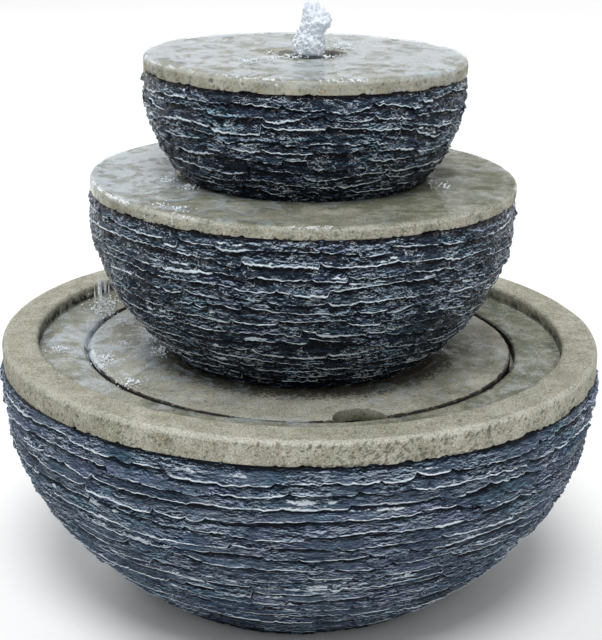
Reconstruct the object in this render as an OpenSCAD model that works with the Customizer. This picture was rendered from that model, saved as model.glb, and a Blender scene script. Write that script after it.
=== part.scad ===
// Three-bowl tabletop fountain: slate-faced bowls with cast stone caps, a lift-out deck lid
// over the water in the basin, and a small pump that feeds a jet at the top.
// The Z axis is the axis of the bowls. Z = 0 is the surface that the rubber feet stand on.
// The front, where the deck lid's finger notch is, faces -Y.

/* [Basin] */
// Outer radius of the stone rim on the basin
rim_r = 200; // [185:1:230]
// Height of the basin's slate bowl, without its feet and rim
basin_h = 157; // [140:1:190]
// Radius of the flat foot of the basin
basin_foot_r = 112; // [95:1:125]
// How far the slate stands out beyond the stone rim
basin_proud = 3.5; // [1:0.5:6]
// Thickness of the basin's wall
basin_wall = 10; // [6:0.5:14]
// Thickness of the basin's floor
basin_floor = 12; // [8:0.5:20]
// Number of slate courses on the basin
basin_courses = 19; // [10:1:22]
// How far each course overhangs the next on the basin
basin_ledge = 4; // [1:0.5:5]

/* [Stone rim and tray] */
// Height of the stone rim above the slate
rim_t = 16; // [14:1:26]
// Width of the rim's flat top
rim_w = 23.5; // [18:0.5:32]
// Radius of the rounded top edges of the stone
stone_round = 3; // [1:0.5:3.5]
// Depth of the tray below the top of the rim
tray_depth = 11; // [6:0.5:16]
// Thickness of the tray's floor
tray_t = 8; // [6:0.5:12]
// How far the rim's skirt reaches down inside the slate
skirt_h = 3; // [2:0.5:10]
// Number of lugs that carry the deck lid
lug_count = 6; // [3:1:8]
// Angle that each lug covers
lug_angle = 14; // [8:1:20]
// Height of each lug
lug_t = 6; // [4:0.5:12]
// How far each lug reaches under the lid
lug_reach = 6; // [3:0.5:12]

/* [Deck lid] */
// Radius of the deck lid
lid_r = 143; // [130:1:150]
// Thickness of the deck lid
lid_t = 7.7; // [5:0.1:12]
// Gap round the lid that water drains through
drain_gap = 2.5; // [1:0.5:4]
// Radius of the finger notch in the edge of the lid
notch_r = 17; // [12:0.5:20]
// Direction of the notch, measured from the front
notch_angle = 15; // [-45:1:45]

/* [Middle bowl] */
// How far the middle bowl's slate edge stays inside the deck lid's edge, so that water falls by the gap
mid_inset = 0.5; // [0:0.5:10]
// Thickness of the middle bowl's stone cap
mid_cap_t = 8; // [6:0.5:14]
// Height of the middle bowl's slate, without its cap
mid_h = 110; // [95:1:130]
// Radius of the middle bowl's foot
mid_foot_r = 90; // [75:1:100]
// How far the slate stands out beyond the cap
mid_proud = 2.5; // [1:0.5:6]
// Number of slate courses on the middle bowl
mid_courses = 15; // [10:1:20]
// How far each course overhangs the next on the middle bowl
mid_ledge = 3; // [1:0.5:4]

/* [Top bowl] */
// Radius of the top bowl's stone cap
top_cap_r = 104.5; // [98:0.5:115]
// Thickness of the top bowl's stone cap
top_cap_t = 9; // [8:0.5:14]
// Height of the top bowl's slate, without its cap
top_h = 69; // [60:1:90]
// Radius of the top bowl's foot
top_foot_r = 82; // [65:1:88]
// How far the slate stands out beyond the cap
top_proud = 2; // [1:0.5:6]
// Number of slate courses on the top bowl
top_courses = 10; // [8:1:15]
// How far each course overhangs the next on the top bowl
top_ledge = 2.8; // [1:0.2:4]

/* [Both upper bowls] */
// Wall thickness of the two upper bowls
upper_wall = 7; // [5:0.5:10]
// Outer radius of the collar that centres a bowl and keeps water off the hose hole
collar_r = 20; // [14:1:24]
// Height of that collar
collar_h = 9; // [4:0.5:14]
// Depth of the rib that centres a cap in its bowl
cap_rib_h = 4; // [2:0.5:6]
// Width of that rib
cap_rib_w = 6; // [4:0.5:10]

/* [Jet nozzle] */
// Radius of the nozzle's flange
nozzle_flange_r = 12.5; // [11.5:0.5:15]
// Thickness of the nozzle's flange
nozzle_flange_t = 2.5; // [1.5:0.5:3]
// Radius of the nozzle's stem
nozzle_stem_r = 8; // [7:0.5:9]
// Radius of the water way through the nozzle
nozzle_bore_r = 3; // [2:0.25:3.5]
// Length of the spigot that the hose slides onto
spigot_l = 14; // [8:1:20]
// Thickness of the rubber washer under the flange
washer_t = 1; // [0.5:0.25:1.5]
// Width across the flats of the nozzle's nut
nut_af = 24; // [21:1:28]
// Thickness of the nozzle's nut
nut_t = 5; // [3:0.5:8]
// Radius of the dish round the nozzle, at the top of the cap
dish_r = 20; // [17:0.5:28]
// Depth of the dish round the nozzle
dish_depth = 4; // [3.5:0.5:5]

/* [Water jet] */
// Height of the frothing jet above the nozzle
jet_h = 34.5; // [20:0.5:60]
// Radius of the jet where it leaves the nozzle
jet_r = 10.5; // [6:0.5:12]
// How far the jet leans over at its widest
jet_lean = 5.7; // [0:0.1:8]

/* [Riser hose] */
// Outer radius of the riser hose
hose_r = 6.25; // [5.75:0.25:7]
// Wall thickness of the riser hose
hose_wall = 1.75; // [1:0.25:2]
// Width of the spring clip on the hose
clip_h = 6; // [4:0.5:8]
// Thickness of the spring clip
clip_t = 1.2; // [0.8:0.1:1.6]

/* [Pump] */
// Width of the pump
pump_w = 40; // [38:1:50]
// Height of the pump's motor housing
pump_h = 38; // [36:1:48]
// Length of the pump's motor housing
motor_l = 36; // [35:1:50]
// Corner radius of the motor housing
pump_round = 4; // [2:0.5:5]
// Outer radius of the impeller chamber
chamber_r = 17; // [16:0.5:18]
// Length of the impeller chamber
chamber_l = 13; // [11:0.5:16]
// Wall thickness of the impeller chamber
chamber_wall = 3; // [2:0.25:3.5]
// Length of the outlet above the impeller chamber
outlet_l = 20; // [14:1:30]
// Radius of the impeller
impeller_r = 11.5; // [9:0.5:12]
// Number of blades on the impeller
blade_count = 6; // [4:1:8]
// Radius of the rotor magnet
magnet_r = 8.6; // [7:0.1:9]
// Length of the rotor magnet
magnet_l = 24; // [18:1:25]
// Radius of the ceramic shaft
shaft_r = 1.2; // [1:0.1:1.5]
// Height of the suction cups under the pump
cup_h = 5; // [4:0.5:8]

/* [Pump intake] */
// Length of the intake cover
cover_l = 18; // [14:1:24]
// Wall thickness of the intake cover
cover_wall = 1.6; // [1.2:0.1:2]
// Number of slots in the intake cover
slot_count = 7; // [3:1:9]
// Width of each intake slot
slot_w = 2; // [1:0.25:2.5]
// Width of the flow slider
slider_w = 13; // [10:0.5:14]
// Height of the flow slider
slider_h = 8; // [6:0.5:9]

/* [Cord exit] */
// How far the middle of the cord exit lies below the stone rim
exit_drop = 19; // [17:0.5:40]
// Radius of the hole for the cord
cord_hole_r = 3.75; // [3:0.25:4.5]

/* [Rubber feet] */
// Radius of each rubber foot
pad_r = 11; // [8:0.5:15]
// How far each foot stands below the basin
pad_proud = 2; // [1:0.5:4]
// How deep each foot sits in the basin
pad_sunk = 2; // [1:0.5:4]
// How far the feet lie in from the edge of the basin's foot
pad_inset = 16; // [8:1:25]
// Number of feet
pad_count = 4; // [3:1:8]

/* [Hidden] */
$fn = 96;

// Clearances
run_gap = 0.05;        // rotor on its shaft
fit_gap = 0.1;         // plastic parts that push together
part_gap = 0.3;        // plastic parts that pull apart
seat_gap = 0.3;        // deck lid on its lugs
loose_gap = 0.5;       // stone parts that locate each other
lift_gap = 1.5;        // bowls that lift off their collars
hose_gap = 1.25;       // hose through the stone
over = 1;              // how far a cut runs past the face that it cuts
bite = 0.01;           // how far joined solids sink into each other

// Shape of the bowls' sides
bowl_power = 2.4;       // how quickly the side turns upright
course_stretch = 0.125; // makes the lower courses less high, where the side leans out
course_hollow = 0.35;   // how far a course curves in, as a share of its ledge
inner_steps = 12;

// Levels, from the ground up
shell_z = pad_proud;
rim_z = shell_z + basin_h;
rim_top_z = rim_z + rim_t;
tray_z = rim_top_z - tray_depth;
tray_under_z = tray_z - tray_t;
lid_z = tray_z - lid_t;
mid_z = tray_z;
mid_cap_z = mid_z + mid_h;
top_z = mid_cap_z + mid_cap_t;
top_cap_z = top_z + top_h;
cap_top_z = top_cap_z + top_cap_t;

// Radii that follow from the driving sizes
basin_top_r = rim_r + basin_proud;
basin_in_top_r = basin_top_r - basin_ledge - basin_wall;
basin_in_foot_r = basin_foot_r - basin_wall;
mid_top_r = lid_r - mid_inset;
mid_cap_r = mid_top_r - mid_proud;
top_top_r = top_cap_r + top_proud;
skirt_r = basin_in_top_r - loose_gap;
tray_in_r = lid_r + drain_gap;
tray_wall_r = rim_r - rim_w;
lug_root = 7;
foot_hole_r = collar_r + lift_gap;
pad_circle_r = basin_foot_r - pad_inset - pad_r;
hose_in_r = hose_r - hose_wall;
hose_hole_r = hose_r + hose_gap;
spigot_r = hose_in_r - fit_gap;

// Nozzle levels
dish_z = cap_top_z - dish_depth;
flange_z = dish_z + washer_t;
nozzle_top_z = flange_z + nozzle_flange_t;
nut_z = top_cap_z - nut_t;
stem_end_z = nut_z - 4;
hose_top_z = stem_end_z - 1;
washer_inset = 0.5;
dish_edge = 1;

// Outline of the jet: share of the lean, share of the height and share of the foot's radius
jet_rings = [[0, 0, 1], [0.07, 0.27, 1.03], [0.32, 0.43, 0.74], [1, 0.61, 0.93],
             [0.67, 0.77, 0.69], [0.28, 0.91, 0.38], [0.21, 1, 0.2]];

// Pump places: the outlet is on the Z axis, and the rotor lies along Y
pump_z = shell_z + basin_floor + cup_h;
rotor_z = pump_z + pump_h / 2;
motor_y = chamber_l / 2;
motor_end_y = motor_y + motor_l;
chamber_y = -chamber_l / 2;
chamber_in_r = chamber_r - chamber_wall;
front_wall = 2;
outlet_z = rotor_z + chamber_r;
clip_z = outlet_z + 6;
hose_z = outlet_z + 3;
inlet_r = 6;
spoke_w = 1.8;
bush_hub_r = 4;
bush_r = 2.6;
bush_l = 1.8;
rear_bush_r = 3.3;
rear_bush_l = 3.6;
shaft_end_gap = 0.6;
well_r = magnet_r + 0.6;
well_l = magnet_l + 4;
magnet_y = motor_y + 2.5;
sleeve_r = 2.9;
blade_t = 1.2;
blade_y = chamber_y + front_wall + 1;
hub_t = 1.4;
hub_y = motor_y - 2.6;
seal_r = chamber_r - 2.4;
seal_w = 1.3;
seal_t = 1.2;
rib_t = 1.6;
rib_proud = 0.8;
rib_inset = 6;
cup_r = 6.5;
cup_neck_r = 3;
cup_peg_r = 2;
cup_peg_l = 1.8;
cup_x = pump_w / 2 - cup_r;
cup_inset = 7;
gland_l = 12;
gland_r = 5;
gland_end_r = 3.6;
gland_hole_r = 3.1;
gland_hole_l = 8;
gland_drop = 9;

// Intake cover places
cover_back_y = chamber_y - part_gap;
cover_front_y = cover_back_y - cover_l;
cover_z = pump_z + 1;
cover_h = pump_h - 2;
arm_h = 10;
rail_t = 1.4;
slider_t = 1.6;
slider_y = cover_front_y - slider_t - fit_gap;
slider_z = cover_z + cover_h - slider_h - rail_t - 2;
slider_x = pump_w / 2 - slider_w - cover_wall;
window_edge = 1;
window_w = slider_w - 2 * window_edge;
window_h = slider_h - 2 * window_edge;
window_x = slider_x - window_edge - window_w;
grip_w = 1.6;
grip_proud = 2;
slot_z = cover_z + 4;
slot_h = slider_z - rail_t - 2 - slot_z;
slot_pitch = (pump_w - 10) / slot_count;
sponge_back = 3;

// Cord exit places
exit_z = rim_z - exit_drop;
spot_sink = 1.6;
wall_out_y = bowl_r(basin_foot_r, basin_top_r, basin_h, exit_z - shell_z)
             - basin_ledge - spot_sink;
wall_in_y = bowl_r(basin_in_foot_r, basin_in_top_r, basin_h - basin_floor,
                   exit_z - shell_z - basin_floor) + loose_gap;
grommet_r = cord_hole_r + 2.75;
grommet_flange_r = grommet_r + 3.5;
grommet_out_t = 3;
grommet_in_t = 2.5;
spot_r = grommet_flange_r + 1.5;

// Radius of a bowl's outside at height z above its foot
function bowl_r(foot_r, top_r, h, z) =
    foot_r + (top_r - foot_r) * (1 - pow(1 - z / h, bowl_power));

// Height of the lower edge of course k above the foot
function course_z(h, count, k) =
    let (s = k / count) h * (s * (1 - course_stretch) + course_stretch * s * s);

// Outline of a bowl's slate side, from the foot up: each course leans in, then the next steps out
function slate_side(foot_r, top_r, h, count, ledge) =
    [for (k = [0:count - 1])
        let (low = course_z(h, count, k), high = course_z(h, count, k + 1), mid = (low + high) / 2)
        for (p = [[bowl_r(foot_r, top_r, h, low), low],
                  [bowl_r(foot_r, top_r, h, mid) - ledge * course_hollow, mid],
                  [bowl_r(foot_r, top_r, h, high) - ledge, high]]) p];

// Outline of a bowl's smooth inside, from the top down to the floor
function inner_side(foot_r, top_r, h, floor_t) =
    [for (k = [inner_steps:-1:0])
        let (z = (h - floor_t) * k / inner_steps)
        [bowl_r(foot_r, top_r, h - floor_t, z), z + floor_t]];

// A ring with a square section
module ring(r_out, r_in, h) {
    difference() {
        cylinder(r = r_out, h = h);
        translate([0, 0, -over])
            cylinder(r = r_in, h = h + 2 * over);
    }
}

// Turns what stands along Z so that it lies along Y
module along_y() {
    rotate([-90, 0, 0])
        children();
}

// The hollow slate side of an upper bowl, with its foot at z = 0 and an opening in its floor
module upper_bowl(foot_r, top_r, h, count, ledge) {
    rotate_extrude()
        polygon(concat(
            slate_side(foot_r, top_r, h, count, ledge),
            inner_side(foot_r - upper_wall, top_r - ledge - upper_wall, h, upper_wall),
            [[foot_hole_r, upper_wall], [foot_hole_r, 0]]));
}

// The stone cap of an upper bowl: a disc with a rounded top edge, over a rib that centres it
module stone_cap(r, t, hole_r, rib_r) {
    rotate_extrude()
        difference() {
            union() {
                square([r - stone_round, t]);
                square([r, t - stone_round]);
                translate([r - stone_round, t - stone_round])
                    circle(stone_round);
                translate([rib_r - cap_rib_w, -cap_rib_h])
                    square([cap_rib_w, cap_rib_h + over]);
            }
            translate([-over, -over - cap_rib_h])
                square([hole_r + over, t + cap_rib_h + 2 * over]);
        }
}

// A collar that stands on the stone round the hose hole
module hose_collar() {
    translate([0, 0, -bite])
        ring(collar_r, hose_hole_r, collar_h + bite);
}

// Repeats its child at each rubber foot
module foot_places() {
    for (k = [0:pad_count - 1])
        rotate([0, 0, 360 / pad_count * (k + 0.5)])
            translate([pad_circle_r, 0, 0])
                children();
}

// The basin's outer slate bowl, which holds the water and the pump
module basin_bowl() {
    color("#3f4857")
        difference() {
            translate([0, 0, shell_z])
                rotate_extrude()
                    polygon(concat(
                        [[0, 0]],
                        slate_side(basin_foot_r, basin_top_r, basin_h, basin_courses, basin_ledge),
                        inner_side(basin_in_foot_r, basin_in_top_r, basin_h, basin_floor),
                        [[0, basin_floor]]));
            foot_places()
                translate([0, 0, shell_z - over])
                    cylinder(r = pad_r + fit_gap, h = pad_sunk + over);
            translate([0, 0, exit_z])
                along_y() {
                    translate([0, 0, wall_in_y - spot_r])
                        cylinder(r = grommet_r + fit_gap, h = wall_out_y - wall_in_y + 2 * spot_r);
                    translate([0, 0, wall_out_y])
                        cylinder(r = spot_r, h = 2 * spot_r);
                    translate([0, 0, wall_in_y - 2 * spot_r])
                        cylinder(r = spot_r, h = 2 * spot_r);
                }
        }
}

// Rubber feet, set into the foot of the basin
module basin_feet() {
    color("#23262b")
        foot_places()
            cylinder(r = pad_r, h = pad_proud + pad_sunk);
}

// One casting: the rim, its skirt, the tray inside it and the lugs that carry the deck lid
module basin_rim() {
    color("#a3a089") {
        rotate_extrude()
            union() {
                translate([tray_in_r, tray_under_z])
                    square([skirt_r - tray_in_r, tray_t]);
                translate([tray_wall_r, rim_z - skirt_h])
                    square([skirt_r - tray_wall_r, skirt_h + over]);
                translate([tray_wall_r + stone_round, rim_z])
                    square([rim_w - 2 * stone_round, rim_t]);
                translate([tray_wall_r, rim_z])
                    square([rim_w, rim_t - stone_round]);
                for (r = [tray_wall_r + stone_round, rim_r - stone_round])
                    translate([r, rim_top_z - stone_round])
                        circle(stone_round);
            }
        for (k = [0:lug_count - 1])
            rotate([0, 0, 360 / lug_count * k - lug_angle / 2])
                rotate_extrude(angle = lug_angle)
                    lug_outline();
    }
}

// Section of a lug: it hangs under the tray's floor and reaches inwards under the lid
module lug_outline() {
    root_z = max(lid_z, tray_under_z) + over;
    seat_z = lid_z - seat_gap;
    polygon([[lid_r - lug_reach, lid_z - lug_t], [tray_in_r + lug_root, lid_z - lug_t],
             [tray_in_r + lug_root, root_z], [tray_in_r, root_z],
             [tray_in_r, seat_z], [lid_r - lug_reach, seat_z]]);
}

// Lift-out lid over the water: the middle bowl stands on it, and its notch takes a finger
module deck_lid() {
    color("#97947c")
        difference() {
            union() {
                translate([0, 0, lid_z])
                    ring(lid_r, hose_hole_r, lid_t);
                translate([0, 0, tray_z])
                    hose_collar();
            }
            rotate([0, 0, notch_angle - 90])
                translate([lid_r, 0, lid_z - over])
                    cylinder(r = notch_r, h = lid_t + 2 * over);
        }
}

// The middle bowl's slate side
module mid_shell() {
    color("#2a3140")
        translate([0, 0, mid_z])
            upper_bowl(mid_foot_r, mid_top_r, mid_h, mid_courses, mid_ledge);
}

// The middle bowl's stone cap, with the collar that the hose comes through
module mid_cap() {
    color("#a09d86") {
        translate([0, 0, mid_cap_z])
            stone_cap(mid_cap_r, mid_cap_t, hose_hole_r,
                      mid_top_r - mid_ledge - upper_wall - loose_gap);
        translate([0, 0, top_z])
            hose_collar();
    }
}

// The top bowl's slate side
module top_shell() {
    color("#262d3a")
        translate([0, 0, top_z])
            upper_bowl(top_foot_r, top_top_r, top_h, top_courses, top_ledge);
}

// The top bowl's stone cap, with a dish round the nozzle
module top_cap() {
    color("#9c9a85")
        difference() {
            translate([0, 0, top_cap_z])
                stone_cap(top_cap_r, top_cap_t, nozzle_stem_r + fit_gap,
                          top_top_r - top_ledge - upper_wall - loose_gap);
            translate([0, 0, dish_z])
                cylinder(r1 = nozzle_flange_r + dish_edge, r2 = dish_r, h = dish_depth + bite);
        }
}

// Black jet nozzle: flange, stem through the cap, and a spigot for the hose
module jet_nozzle() {
    color("#1b1d20")
        difference() {
            union() {
                translate([0, 0, flange_z])
                    cylinder(r = nozzle_flange_r, h = nozzle_flange_t);
                translate([0, 0, stem_end_z])
                    cylinder(r = nozzle_stem_r, h = flange_z - stem_end_z + bite);
                translate([0, 0, stem_end_z - spigot_l])
                    cylinder(r = spigot_r, h = spigot_l + bite);
            }
            translate([0, 0, stem_end_z - spigot_l - over])
                cylinder(r = nozzle_bore_r, h = nozzle_top_z - stem_end_z + spigot_l + 2 * over);
        }
}

// Rubber washer that seals the flange on the stone
module nozzle_washer() {
    color("#2c2e30")
        translate([0, 0, dish_z])
            ring(nozzle_flange_r - washer_inset, nozzle_stem_r + fit_gap, washer_t);
}

// Hexagonal nut that clamps the nozzle from below the cap
module nozzle_nut() {
    color("#24262a")
        translate([0, 0, nut_z])
            difference() {
                cylinder(r = nut_af / 2 / cos(30), h = nut_t, $fn = 6);
                translate([0, 0, -over])
                    cylinder(r = nozzle_stem_r + fit_gap, h = nut_t + 2 * over);
            }
}

// The frothing jet as it stands when the pump runs
module water_jet() {
    slice = 0.2;
    foot_z = nozzle_top_z + part_gap;
    color("#dfe6ec")
        for (k = [0:len(jet_rings) - 2])
            hull()
                for (j = [k, k + 1])
                    translate([jet_lean * jet_rings[j][0], 0,
                               foot_z + (jet_h - part_gap - slice) * jet_rings[j][1]])
                        cylinder(r = jet_r * jet_rings[j][2], h = slice, $fn = 24);
}

// Riser hose from the pump's outlet to the nozzle
module riser_hose() {
    color("#4a4f52")
        translate([0, 0, hose_z])
            ring(hose_r, hose_in_r, hose_top_z - hose_z);
}

// Spring clip that holds the hose on the pump's outlet
module hose_clip() {
    clip_r = hose_r + fit_gap;
    ear_l = 5;
    ear_x = 3;
    color("#b9bcc0")
        translate([0, 0, clip_z])
            difference() {
                union() {
                    cylinder(r = clip_r + clip_t, h = clip_h);
                    for (x = [-ear_x, ear_x - clip_t])
                        translate([x, clip_r, 0])
                            cube([clip_t, ear_l, clip_h]);
                }
                translate([0, 0, -over])
                    cylinder(r = clip_r, h = clip_h + 2 * over);
                translate([clip_t - ear_x, 0, -over])
                    cube([2 * (ear_x - clip_t), clip_r + clip_t + over, clip_h + 2 * over]);
            }
}

// Upright block with rounded corners, from x = -w / 2 and y = 0
module round_box(w, d, h, r) {
    linear_extrude(h)
        union() {
            translate([-w / 2 + r, 0])
                square([w - 2 * r, d]);
            translate([-w / 2, r])
                square([w, d - 2 * r]);
            for (x = [-w / 2 + r, w / 2 - r], y = [r, d - r])
                translate([x, y])
                    circle(r);
        }
}

// Repeats its child at each suction cup
module cup_places() {
    for (x = [-cup_x, cup_x], y = [motor_y + cup_inset, motor_end_y - cup_inset])
        translate([x, y, pump_z])
            children();
}

// Potted motor housing with the well that the rotor turns in
module pump_housing() {
    color("#1e2023")
        difference() {
            union() {
                translate([0, motor_y, pump_z])
                    round_box(pump_w, motor_l, pump_h, pump_round);
                for (share = [0.3, 0.5, 0.7])
                    translate([-pump_w / 2 - rib_proud, motor_y + rib_inset,
                               pump_z + pump_h * share - rib_t / 2])
                        cube([pump_w + 2 * rib_proud, motor_l - 2 * rib_inset, rib_t]);
            }
            translate([0, motor_y, rotor_z])
                along_y() {
                    translate([0, 0, -over])
                        cylinder(r = well_r, h = well_l + over);
                    translate([0, 0, well_l - over])
                        cylinder(r = rear_bush_r + fit_gap, h = rear_bush_l + over);
                    translate([0, 0, -over])
                        ring(seal_r + seal_w + fit_gap, seal_r - fit_gap, seal_t + over);
                }
            cup_places()
                translate([0, 0, -over])
                    cylinder(r = cup_peg_r + fit_gap, h = cup_peg_l + fit_gap + over);
        }
}

// Four suction cups that hold the pump on the basin's floor
module pump_suction_feet() {
    lip_t = 1.2;
    lip_edge = 0.6;
    neck_z = cup_h * 0.6;
    color("#3a3d40")
        cup_places()
            translate([0, 0, -cup_h])
                rotate_extrude()
                    polygon([[0, lip_t], [cup_r - lip_t, 0], [cup_r, 0], [cup_r, lip_edge],
                             [cup_neck_r, neck_z], [cup_neck_r, cup_h], [cup_peg_r, cup_h],
                             [cup_peg_r, cup_h + cup_peg_l], [0, cup_h + cup_peg_l]]);
}

// Gland on the back of the pump, where its lead comes out
module pump_cord_gland() {
    color("#17181a")
        translate([0, motor_end_y, pump_z + pump_h - gland_drop])
            along_y()
                difference() {
                    cylinder(r1 = gland_r, r2 = gland_end_r, h = gland_l);
                    translate([0, 0, gland_l - gland_hole_l])
                        cylinder(r = gland_hole_r, h = gland_hole_l + over);
                }
}

// Impeller chamber with its inlet, front bearing hub and outlet
module impeller_chamber() {
    color("#26282c")
        difference() {
            union() {
                translate([0, chamber_y, rotor_z])
                    along_y()
                        cylinder(r = chamber_r, h = chamber_l);
                translate([0, 0, rotor_z + chamber_in_r])
                    cylinder(r = spigot_r, h = outlet_z + outlet_l - rotor_z - chamber_in_r);
            }
            translate([0, chamber_y, rotor_z])
                along_y() {
                    translate([0, 0, front_wall])
                        cylinder(r = chamber_in_r, h = chamber_l);
                    inlet_openings();
                    translate([0, 0, -over])
                        cylinder(r = bush_r + fit_gap, h = front_wall + 2 * over);
                }
            translate([0, 0, rotor_z])
                cylinder(r = nozzle_bore_r, h = outlet_z + outlet_l);
        }
}

// The inlet's openings round the bearing hub, parted by three spokes
module inlet_openings() {
    depth = front_wall + 2 * over;
    difference() {
        translate([0, 0, -over])
            ring(inlet_r, bush_hub_r, depth);
        for (a = [90, 210, 330])
            rotate([0, 0, a])
                translate([0, -spoke_w / 2, -2 * over])
                    cube([inlet_r + over, spoke_w, depth + 2 * over]);
    }
}

// Rubber ring between the chamber and the motor housing
module chamber_seal() {
    color("#111315")
        translate([0, motor_y, rotor_z])
            along_y()
                ring(seal_r + seal_w, seal_r, seal_t);
}

// Ceramic shaft, held at both ends
module rotor_shaft() {
    front_y = chamber_y + shaft_end_gap;
    rear_y = motor_y + well_l + rear_bush_l - shaft_end_gap;
    color("#e8e4da")
        translate([0, front_y, rotor_z])
            along_y()
                cylinder(r = shaft_r, h = rear_y - front_y);
}

// Rubber bush in the inlet's hub
module shaft_bush_front() {
    color("#3b2d2a")
        translate([0, chamber_y, rotor_z])
            along_y()
                ring(bush_r, shaft_r + run_gap, bush_l);
}

// Rubber bush at the bottom of the rotor's well
module shaft_bush_rear() {
    color("#3b2d2a")
        translate([0, motor_y + well_l, rotor_z])
            along_y()
                ring(rear_bush_r, shaft_r + run_gap, rear_bush_l);
}

// Ring magnet that the motor turns
module rotor_magnet() {
    color("#55585c")
        translate([0, magnet_y, rotor_z])
            along_y()
                ring(magnet_r, sleeve_r + fit_gap, magnet_l);
}

// Impeller with straight blades, on a sleeve that runs through the magnet
module impeller() {
    sleeve_end_y = motor_y + well_l - part_gap;
    tip_gap = 0.5;
    color("#d8d4c4")
        translate([0, 0, rotor_z])
            difference() {
                union() {
                    translate([0, hub_y, 0])
                        along_y()
                            cylinder(r = impeller_r, h = hub_t);
                    for (k = [0:blade_count - 1])
                        rotate([0, 360 / blade_count * k, 0])
                            translate([0, blade_y, -blade_t / 2])
                                cube([impeller_r - tip_gap, hub_y - blade_y + bite, blade_t]);
                    translate([0, blade_y, 0])
                        along_y()
                            cylinder(r = sleeve_r, h = sleeve_end_y - blade_y);
                }
                translate([0, blade_y - over, 0])
                    along_y()
                        cylinder(r = shaft_r + run_gap, h = sleeve_end_y - blade_y + 2 * over);
            }
}

// Slotted cover that pulls off the front of the pump, with the flow slider's rails
module pump_intake_cover() {
    inner_w = pump_w - 2 * cover_wall;
    color("#202226")
        difference() {
            union() {
                translate([-pump_w / 2, cover_front_y, cover_z])
                    cube([pump_w, cover_l, cover_h]);
                for (x = [-pump_w / 2, pump_w / 2 - cover_wall])
                    translate([x, cover_front_y, rotor_z - arm_h / 2])
                        cube([cover_wall, motor_y - part_gap - cover_front_y, arm_h]);
                for (z = [slider_z - rail_t - fit_gap, slider_z + slider_h + fit_gap])
                    translate([-pump_w / 2, slider_y, z])
                        cube([pump_w, slider_t + fit_gap + bite, rail_t]);
            }
            translate([-inner_w / 2, cover_front_y + cover_wall, cover_z + cover_wall])
                cube([inner_w, motor_y - cover_front_y, cover_h - 2 * cover_wall]);
            for (k = [0:slot_count - 1])
                translate([(k - (slot_count - 1) / 2) * slot_pitch - slot_w / 2,
                           cover_front_y - over, slot_z])
                    cube([slot_w, cover_wall + 2 * over, slot_h]);
            translate([window_x, cover_front_y - over, slider_z + window_edge])
                cube([window_w, cover_wall + 2 * over, window_h]);
        }
}

// Foam block inside the intake cover
module filter_sponge() {
    inset = cover_wall + part_gap;
    color("#4f5a52")
        translate([-pump_w / 2 + inset, cover_front_y + inset, cover_z + inset])
            cube([pump_w - 2 * inset, cover_l - cover_wall - sponge_back, cover_h - 2 * inset]);
}

// Slider that covers the window in the intake and so sets the flow
module flow_slider() {
    color("#8d9196") {
        translate([slider_x, slider_y, slider_z])
            cube([slider_w, slider_t, slider_h]);
        translate([slider_x + slider_w / 2 - grip_w / 2, slider_y - grip_proud,
                   slider_z + window_edge])
            cube([grip_w, grip_proud + bite, window_h]);
    }
}

// Rubber grommet that lines the hole where the pump's lead leaves the basin
module cord_grommet() {
    wall_t = wall_out_y - wall_in_y;
    whole_l = grommet_in_t + wall_t + grommet_out_t;
    color("#17181a")
        translate([0, wall_in_y - grommet_in_t, exit_z])
            along_y()
                difference() {
                    union() {
                        cylinder(r = grommet_r, h = whole_l);
                        cylinder(r = grommet_flange_r, h = grommet_in_t);
                        translate([0, 0, whole_l - grommet_out_t])
                            cylinder(r = grommet_flange_r, h = grommet_out_t);
                    }
                    translate([0, 0, -over])
                        cylinder(r = cord_hole_r, h = whole_l + 2 * over);
                }
}

basin_bowl();
basin_rim();
basin_feet();
cord_grommet();
deck_lid();
mid_shell();
mid_cap();
top_shell();
top_cap();
jet_nozzle();
nozzle_washer();
nozzle_nut();
water_jet();
riser_hose();
hose_clip();
pump_housing();
pump_suction_feet();
pump_cord_gland();
impeller_chamber();
chamber_seal();
rotor_shaft();
shaft_bush_front();
shaft_bush_rear();
rotor_magnet();
impeller();
pump_intake_cover();
filter_sponge();
flow_slider();
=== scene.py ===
# %% [markdown]
# # A slate tabletop fountain
# Three split-slate bowls stand on each other. Each has a flat stone cap, and a small pump in the
# basin feeds a jet at the top. The construction comes in as a fixed frame of solids. Here each
# surface that shows gets its real relief and finish: broken courses of slate, cast stone with
# pits, and running water.

import math
from types import SimpleNamespace

import bpy
import numpy as np
from mathutils import Matrix, Vector
from mathutils.kdtree import KDTree


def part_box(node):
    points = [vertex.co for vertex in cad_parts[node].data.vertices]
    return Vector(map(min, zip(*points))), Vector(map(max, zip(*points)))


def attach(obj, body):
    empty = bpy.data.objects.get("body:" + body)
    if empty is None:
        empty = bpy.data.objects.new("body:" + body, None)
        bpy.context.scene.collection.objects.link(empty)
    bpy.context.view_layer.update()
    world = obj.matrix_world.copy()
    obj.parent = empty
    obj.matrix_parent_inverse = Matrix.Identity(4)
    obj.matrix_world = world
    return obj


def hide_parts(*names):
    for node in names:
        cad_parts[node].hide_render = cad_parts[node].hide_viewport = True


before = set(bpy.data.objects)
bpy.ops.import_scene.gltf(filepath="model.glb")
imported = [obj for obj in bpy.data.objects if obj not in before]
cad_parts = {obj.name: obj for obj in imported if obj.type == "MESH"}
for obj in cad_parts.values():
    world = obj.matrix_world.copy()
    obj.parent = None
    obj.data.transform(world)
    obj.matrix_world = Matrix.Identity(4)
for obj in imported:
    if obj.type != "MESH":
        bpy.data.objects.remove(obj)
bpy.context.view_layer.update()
MM = 0.001
TURN = 2 * math.pi

# %% [markdown]
# ## Camera
# The photo looks down on the fountain at 18 degrees from about a metre away. Fitting the ellipses
# of the rim, the caps and the tray gives the camera's place, its lens and a slight roll.

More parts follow.
